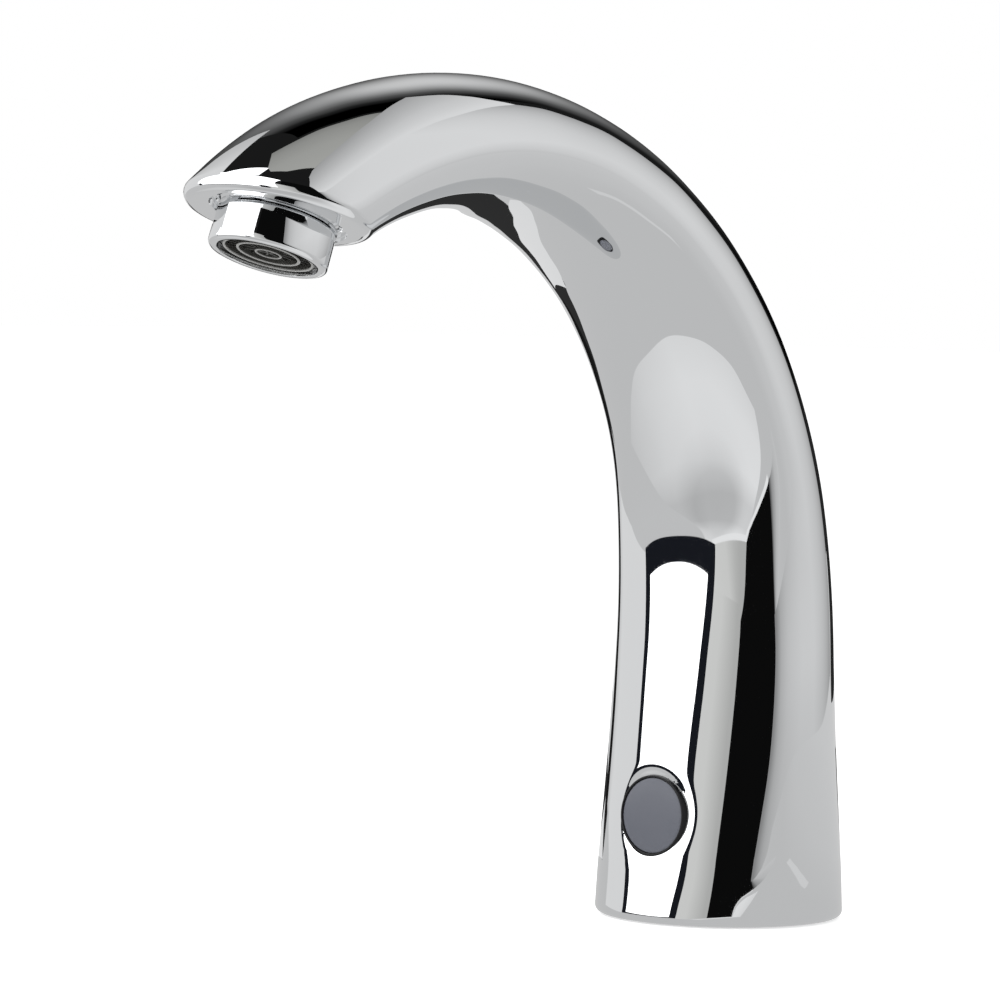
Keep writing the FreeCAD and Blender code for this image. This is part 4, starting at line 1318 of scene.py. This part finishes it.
@dataclass(frozen=True)
class Fade:
    """Brightness of a card as it changes along a direction, or away from a spot."""

    direction: Triple = (0.0, 0.0, 1.0)
    stops: tuple[Spot, ...] = ((0.0, 1.0), (1.0, 1.0))
    spot: Triple | None = None


@dataclass(frozen=True)
class Card:
    """A studio card that only reflections see.

    Its corners are in millimetres: to the camera's right, towards the camera, and up.
    """

    name: str
    corners: Corners
    glow: float
    tone: Triple = (1.0, 1.0, 1.0)
    fades: tuple[Fade, ...] = ()


def wall(start: Spot, end: Spot, heights: Spot) -> Corners:
    """Corners of an upright card between two places on the table, from one height to another."""
    return tuple((*place, height) for height in heights for place in (start, end))


def standing(bearings: Spot, distances: Spot, heights: Spot) -> Corners:
    """Corners of an upright card between two bearings from the camera's own.

    Args:
        bearings: Bearings of its ends, in degrees.
        distances: Distances of its ends from the column.
        heights: Its lower and upper edge.

    Returns:
        The four corners.
    """
    start, end = ((math.sin(math.radians(turn)) * far, math.cos(math.radians(turn)) * far)
                  for turn, far in zip(bearings, distances))
    return wall(start, end, heights)


def flat(height: float, *places: Spot) -> Corners:
    """Corners of a level card."""
    return tuple((*place, height) for place in places)


FAINT_YELLOW = (1.0, 1.0, 0.975)
COOL_GREY = (0.85, 0.95, 1.3)

CARDS = (
    Card("table", flat(-0.1, (-2500, -2500), (2500, -2500), (-2500, 2500), (2500, 2500)), 1.0, fades=(
        Fade((-0.707, 0.707, 0.0), (
            (-500, 0.68), (-150, 0.64), (-40, 0.6), (60, 0.6), (250, 0.62), (900, 0.6))),)),
    Card("table_glow", flat(-0.08, (-230, -100), (118, 196), (-330, 310), (-45, 470)), 1.0, fades=(
        Fade((-0.707, 0.707, 0.0), (
            (55, 0.78), (100, 0.86), (170, 0.88), (240, 0.72), (330, 0.74), (380, 0.92))),
        Fade((0.707, 0.707, 0.0), ((-250, 0.74), (-120, 0.84), (0, 1.0), (300, 1.0))),
        Fade(spot=(-175.0, 235.0, 0.0), stops=(
            (0, 0.74), (100, 0.76), (160, 0.97), (190, 1.0), (900, 1.0))))),
    Card("table_rim_left", flat(-0.04, (-288, 303), (-40, 442), (-296, 322), (-50, 462)), 0.93),
    Card("table_rim_right", flat(-0.03, (-62, 446), (132, 276), (-50, 462), (145, 292)), 0.93),
    Card("gap_edge", flat(-0.045, (145, 290), (255, 242), (740, 1650), (850, 1602)), 1.0, fades=(
        Fade((0.916, -0.401, 0.0), ((16, 0.05), (40, 0.35), (80, 0.56), (136, 0.64))),)),
    Card("front_sheet", flat(-0.06, (-296, 322), (-50, 462), (-1700, 1500), (-330, 1650)), 1.0,
         FAINT_YELLOW, (
             Fade((0.9613, 0.2756, 0.0), (
                 (-400, 0.75), (-110, 0.69), (-32, 0.54), (8, 0.495), (60, 0.49))),)),
    Card("front_gap", flat(-0.05, (-50, 460), (145, 290), (-444, 1600), (740, 1650)), 0.004),
    Card("rear_gap", flat(-0.05, (-115, -150), (40, -135), (-300, -420), (160, -420)), 0.03),
    Card("rear_streak", flat(-0.04, (0, -90), (-120, -156), (0, -112), (-150, -340)), 0.82),
    Card("right_line", flat(-0.03, (116, 19), (184, 103), (107, 28), (175, 112)), 0.72),
    Card("room_behind_camera", standing((-15.5, 24.5), (1660, 1760), (0, 3200)), 0.004),
    Card("room_above_camera", standing((-26, -15), (1720, 1660), (420, 3200)), 0.004),
    Card("softbox_foot", wall((-528, -66), (-283, 331), (0, 100)), 0.012, COOL_GREY),
    Card("softbox_side", wall((-561, -119), (-528, -66), (0, 98)), 0.012, COOL_GREY),
    Card("softbox", wall((-527, -67), (-308, 287), (23, 101)), 2.2),
    Card("high_softbox", wall((-600, -182), (-250, 384), (101, 900)), 2.2),
    Card("softbox_wing", wall((-412, -276), (-566, -47), (575, 1390)), 2.2),
    Card("left_wall", standing((-153, -74), (760, 760), (0, 700)), 1.0, fades=(
        Fade((0.2756, -0.9613, 0.0), ((0, 0.8), (340, 0.79), (480, 0.62), (620, 0.52), (800, 0.5))),)),
    Card("front_wall", standing((-74, -14), (800, 800), (0, 400)), 1.0, FAINT_YELLOW, (
        Fade((0.9613, 0.2756, 0.0), ((-700, 0.75), (-200, 0.7), (-20, 0.5), (60, 0.49), (800, 0.49))),)),
    Card("right_panel", wall((620, 1400), (620, -760), (0, 1150)), 0.82, fades=(
        Fade((0.0, 1.0, 0.0), (
            (-760, 0.5), (-480, 0.72), (-240, 0.88), (0, 1.0), (300, 0.98), (700, 0.86), (1000, 0.7),
            (1300, 0.4))),
        Fade((0.0, 0.0, 1.0), ((0, 0.8), (60, 0.88), (220, 1.0), (1150, 1.0))))),
    Card("right_ceiling", flat(1150, (45, -760), (620, -760), (28, 150), (620, 1400)), 0.82, fades=(
        Fade((1.0, 0.0, 0.0), ((30, 0.5), (120, 0.62), (300, 0.82), (560, 1.0))),)),
    Card("ceiling", flat(1155, (-400, -450), (46, -450), (-335, -85), (28, 125)), 1.0, (1.0, 1.0, 0.95), (
        Fade((0.0, 1.0, 0.0), ((-450, 0.26), (-350, 0.33), (-150, 0.4), (130, 0.44))),)),
    Card("rear_panel", standing((148, 208), (900, 900), (190, 1650)), 1.0, fades=(
        Fade(spot=(-40.0, -880.0, 690.0), stops=(
            (0, 0.78), (60, 0.73), (134, 0.6), (250, 0.33), (307, 0.2), (384, 0.09), (500, 0.018),
            (615, 0.0))),)),
    Card("backdrop", standing((170, 200), (720, 720), (0, 260)), 1.15),
    Card("right_flank", standing((143, 168), (700, 680), (0, 150)), 0.02),
    Card("left_flank", standing((-155.5, -146), (370, 350), (0, 100)), 0.01),
)


@dataclass(frozen=True)
class Lamp:
    """A soft square lamp that reflections don't see.

    Its place is given as a card's corners are, its size in millimetres and its power in watts.
    """

    name: str
    place: Triple
    size: float
    power: float


LAMPS = (Lamp("key", (-850, 280, 650), 700, 5.0), Lamp("fill", (1000, 370, 900), 900, 3.0))


@dataclass
class Studio:
    """Camera, floor, soft light and the cards that the chrome mirrors."""

    bearing: float = math.radians(40.48)
    rise: float = math.radians(2.07)
    roll: float = math.radians(1.18)
    distance: float = 1084.1
    aim: Triple = (0.0, -52.0, 98.8)
    aim_pixel: tuple[float, float] = (568.2, 450.0)
    focal_pixels: float = 5325.0
    frame_pixels: float = 1000.0
    sensor: float = 36.0
    clip_start: float = 0.05
    floor_size: float = 12.0
    floor_drop: float = 0.3
    floor_tone: float = 0.9
    floor_lift: float = 0.4
    daylight: float = 0.85
    behind_cards: float = 0.012
    lamp_aim: Triple = (0.0, -40.0, 80.0)
    cards: tuple[Card, ...] = CARDS
    lamps: tuple[Lamp, ...] = LAMPS

    def camera(self) -> None:
        """Adds the camera at the photograph's viewing angle."""
        aim = Vector(self.aim)
        level = math.cos(self.rise)
        outward = Vector((
            math.sin(self.bearing) * level, -math.cos(self.bearing) * level, math.sin(self.rise)))
        ahead = -outward
        right = ahead.cross(Vector((0, 0, 1))).normalized()
        up = right.cross(ahead)
        rolled_right = right * math.cos(self.roll) + up * math.sin(self.roll)
        rolled_up = up * math.cos(self.roll) - right * math.sin(self.roll)
        middle = self.frame_pixels / 2
        ahead = ahead + rolled_right * ((middle - self.aim_pixel[0]) / self.focal_pixels)
        ahead = (ahead - rolled_up * ((middle - self.aim_pixel[1]) / self.focal_pixels)).normalized()
        rolled_right = (rolled_right - ahead * rolled_right.dot(ahead)).normalized()
        rolled_up = rolled_right.cross(ahead)
        turned = Matrix((rolled_right, rolled_up, -ahead)).transposed().to_4x4()
        start_clean()
        bpy.ops.object.camera_add()
        camera = bpy.context.object
        camera.name = "camera"
        camera.matrix_world = Matrix.Translation((aim + outward * self.distance) * MM) @ turned
        camera.data.sensor_width = self.sensor
        camera.data.lens = self.focal_pixels / self.frame_pixels * self.sensor
        camera.data.clip_start = self.clip_start
        bpy.context.scene.camera = camera

    @property
    def axes(self) -> tuple[Vector, Vector, Vector]:
        """Directions to the camera's right, towards the camera, and up."""
        turn = self.bearing
        return (Vector((math.cos(turn), math.sin(turn), 0)), Vector((math.sin(turn), -math.cos(turn), 0)),
                Vector((0, 0, 1)))

    def at(self, place: Sequence[float]) -> Vector:
        """A place given to the right, towards the camera and up, in millimetres."""
        return sum((axis * number for axis, number in zip(self.axes, place)), Vector()) * MM

    def brightness(self, tree: bpy.types.NodeTree, fade: Fade) -> bpy.types.NodeSocket:
        """Builds the nodes of a fade.

        Args:
            tree: The card's node tree.
            fade: The fade.

        Returns:
            The brightness.
        """
        place = tree.nodes.new("ShaderNodeTexCoord").outputs["Object"]
        measure = tree.nodes.new("ShaderNodeVectorMath")
        measure.operation = "DISTANCE" if fade.spot else "DOT_PRODUCT"
        measure.inputs[1].default_value = self.at(fade.spot) if fade.spot else self.at(fade.direction) / MM
        low, high = fade.stops[0][0], fade.stops[-1][0]
        span = tree.nodes.new("ShaderNodeMapRange")
        span.inputs["From Min"].default_value = low * MM
        span.inputs["From Max"].default_value = high * MM
        ramp = tree.nodes.new("ShaderNodeValToRGB")
        elements = ramp.color_ramp.elements
        while len(elements) < len(fade.stops):
            elements.new(0.5)
        for element, (where, level) in zip(elements, fade.stops):
            element.position = (where - low) / (high - low)
            element.color = (level, level, level, 1)
        tree.links.new(place, measure.inputs[0])
        tree.links.new(measure.outputs["Value"], span.inputs["Value"])
        tree.links.new(span.outputs["Result"], ramp.inputs["Fac"])
        return ramp.outputs["Color"]

    def glow(self, card: Card) -> bpy.types.Material:
        """Makes a card's material, which shines by itself.

        Args:
            card: The card.

        Returns:
            The material.
        """
        material = bpy.data.materials.new(card.name)
        material.use_nodes = True
        tree = material.node_tree
        tree.nodes.clear()
        shine = tree.nodes.new("ShaderNodeEmission")
        output = tree.nodes.new("ShaderNodeOutputMaterial")
        tree.links.new(shine.outputs["Emission"], output.inputs["Surface"])
        shine.inputs["Color"].default_value = (*card.tone, 1)
        shine.inputs["Strength"].default_value = card.glow
        for fade in card.fades:
            dim = tree.nodes.new("ShaderNodeMix")
            dim.data_type = "RGBA"
            dim.blend_type = "MULTIPLY"
            dim.inputs["Factor"].default_value = 1.0
            dim.inputs["A"].default_value = (*card.tone, 1)
            if shine.inputs["Color"].links:
                tree.links.new(shine.inputs["Color"].links[0].from_socket, dim.inputs["A"])
            tree.links.new(self.brightness(tree, fade), dim.inputs["B"])
            tree.links.new(dim.outputs["Result"], shine.inputs["Color"])
        return material

    def put_card(self, card: Card) -> None:
        """Sets a card up as a flat sheet that only reflections see.

        Args:
            card: The card.
        """
        start_clean()
        bpy.ops.mesh.primitive_plane_add(size=1)
        sheet = named(card.name)
        sheet.data.vertices.foreach_set("co", [n for corner in card.corners for n in self.at(corner)])
        for sight in ("camera", "diffuse", "shadow", "transmission", "volume_scatter"):
            setattr(sheet, "visible_" + sight, False)
        sheet.data.materials.append(self.glow(card))

    def floor(self) -> None:
        """Lays the pale floor, which is white to the camera outside the tap's shadow."""
        start_clean()
        bpy.ops.mesh.primitive_plane_add(size=self.floor_size, location=(0, 0, -self.floor_drop * MM))
        sheet = named("floor")
        nodes = Nodes("pale_floor")
        nodes.plain(base_color=(*[self.floor_tone] * 3, 1), roughness=0.8, specular_ior_level=0.05,
                    emission_color=(1, 1, 1, 1))
        path = nodes.add("ShaderNodeLightPath")
        lift = nodes.add("ShaderNodeMath", operation="MULTIPLY")
        lift.inputs[1].default_value = self.floor_lift
        nodes.join(path.outputs["Is Camera Ray"], lift.inputs[0])
        nodes.join(lift.outputs["Value"], nodes.shader.inputs["Emission Strength"])
        sheet.data.materials.append(nodes.material)

    def surroundings(self) -> None:
        """Sets the world: white to the camera, dark behind the cards, pale as a light."""
        world = bpy.data.worlds.new("studio")
        world.use_nodes = True
        tree = world.node_tree
        path = tree.nodes.new("ShaderNodeLightPath")
        mirrored = tree.nodes.new("ShaderNodeMix")
        mirrored.data_type = "RGBA"
        mirrored.inputs["A"].default_value = (*[self.daylight] * 3, 1)
        mirrored.inputs["B"].default_value = (*[self.behind_cards] * 3, 1)
        seen = tree.nodes.new("ShaderNodeMix")
        seen.data_type = "RGBA"
        seen.inputs["B"].default_value = (1, 1, 1, 1)
        tree.links.new(path.outputs["Is Glossy Ray"], mirrored.inputs["Factor"])
        tree.links.new(path.outputs["Is Camera Ray"], seen.inputs["Factor"])
        tree.links.new(mirrored.outputs["Result"], seen.inputs["A"])
        tree.links.new(seen.outputs["Result"], tree.nodes["Background"].inputs["Color"])
        bpy.context.scene.world = world

    def put_lamp(self, lamp: Lamp) -> None:
        """Adds a lamp, aimed at the tap.

        Args:
            lamp: The lamp.
        """
        start_clean()
        bpy.ops.object.light_add(type="AREA", location=self.at(lamp.place))
        light = bpy.context.object
        light.name = lamp.name
        light.data.name = lamp.name
        light.data.shape = "SQUARE"
        light.data.size = lamp.size * MM
        light.data.energy = lamp.power
        light.visible_glossy = False
        towards = Vector(self.lamp_aim) * MM - light.location
        light.rotation_euler = towards.to_track_quat("-Z", "Y").to_euler()

    def build(self) -> None:
        """Sets the studio up."""
        self.camera()
        self.floor()
        self.surroundings()
        for card in self.cards:
            self.put_card(card)
        for lamp in self.lamps:
            self.put_lamp(lamp)


def main() -> None:
    """Builds the studio and the pieces, in order."""
    logging.basicConfig(level=logging.INFO, format="%(name)s: %(message)s")
    bpy.context.scene.view_settings.view_transform = "Standard"
    Studio().build()
    chrome = Chrome().material()
    rubber = Moulded("foot_rubber", (0.02, 0.02, 0.021), 0.6).material()
    hand_in(Casting().build(), Body.TAP, Slot.CHROME, chrome, "spout_body")
    aerator = Aerator()
    hand_in(aerator.sleeve(), Body.SLEEVE, Slot.CHROME, chrome, "aerator_housing")
    up = -aerator.outlet.down
    foot = aerator.outlet.centre - up * aerator.outlet.drop
    # The jet's ring faces near its foot get a painted highlight.
    ringed = RingedPlastic("jet_plastic", axis=tuple(up), edge=float(foot @ up) + aerator.highlight_below)
    hand_in(aerator.jet(), Body.CORE, Slot.JET, ringed.material(), "aerator_insert")
    sensor = SensorWindow()
    hand_in(sensor.lens(), Body.TAP, Slot.WINDOW, DarkWindow().material(), "sensor_lens")
    black = Moulded("bezel_plastic", (0.008, 0.008, 0.009), roughness=0.3, grain=0.001, shine=0.2)
    hand_in(sensor.bezel(), Body.TAP, Slot.BEZEL, black.material(), "sensor_bezel")
    fittings = FootFittings()
    hand_in(fittings.seal(), Body.TAP, Slot.RUBBER, rubber, "base_seal")
    hand_in(fittings.grommet(), Body.TAP, Slot.RUBBER, rubber, "cable_grommet")
    steel = Machined("bright_steel", (0.62, 0.61, 0.6)).material()
    hand_in(PlateScrews().build(), Body.TAP, Slot.STAINLESS, steel, "base_screws")
    ClosingSpring().fit(steel)
    dress_hidden()


if __name__ == "__main__":
    main()
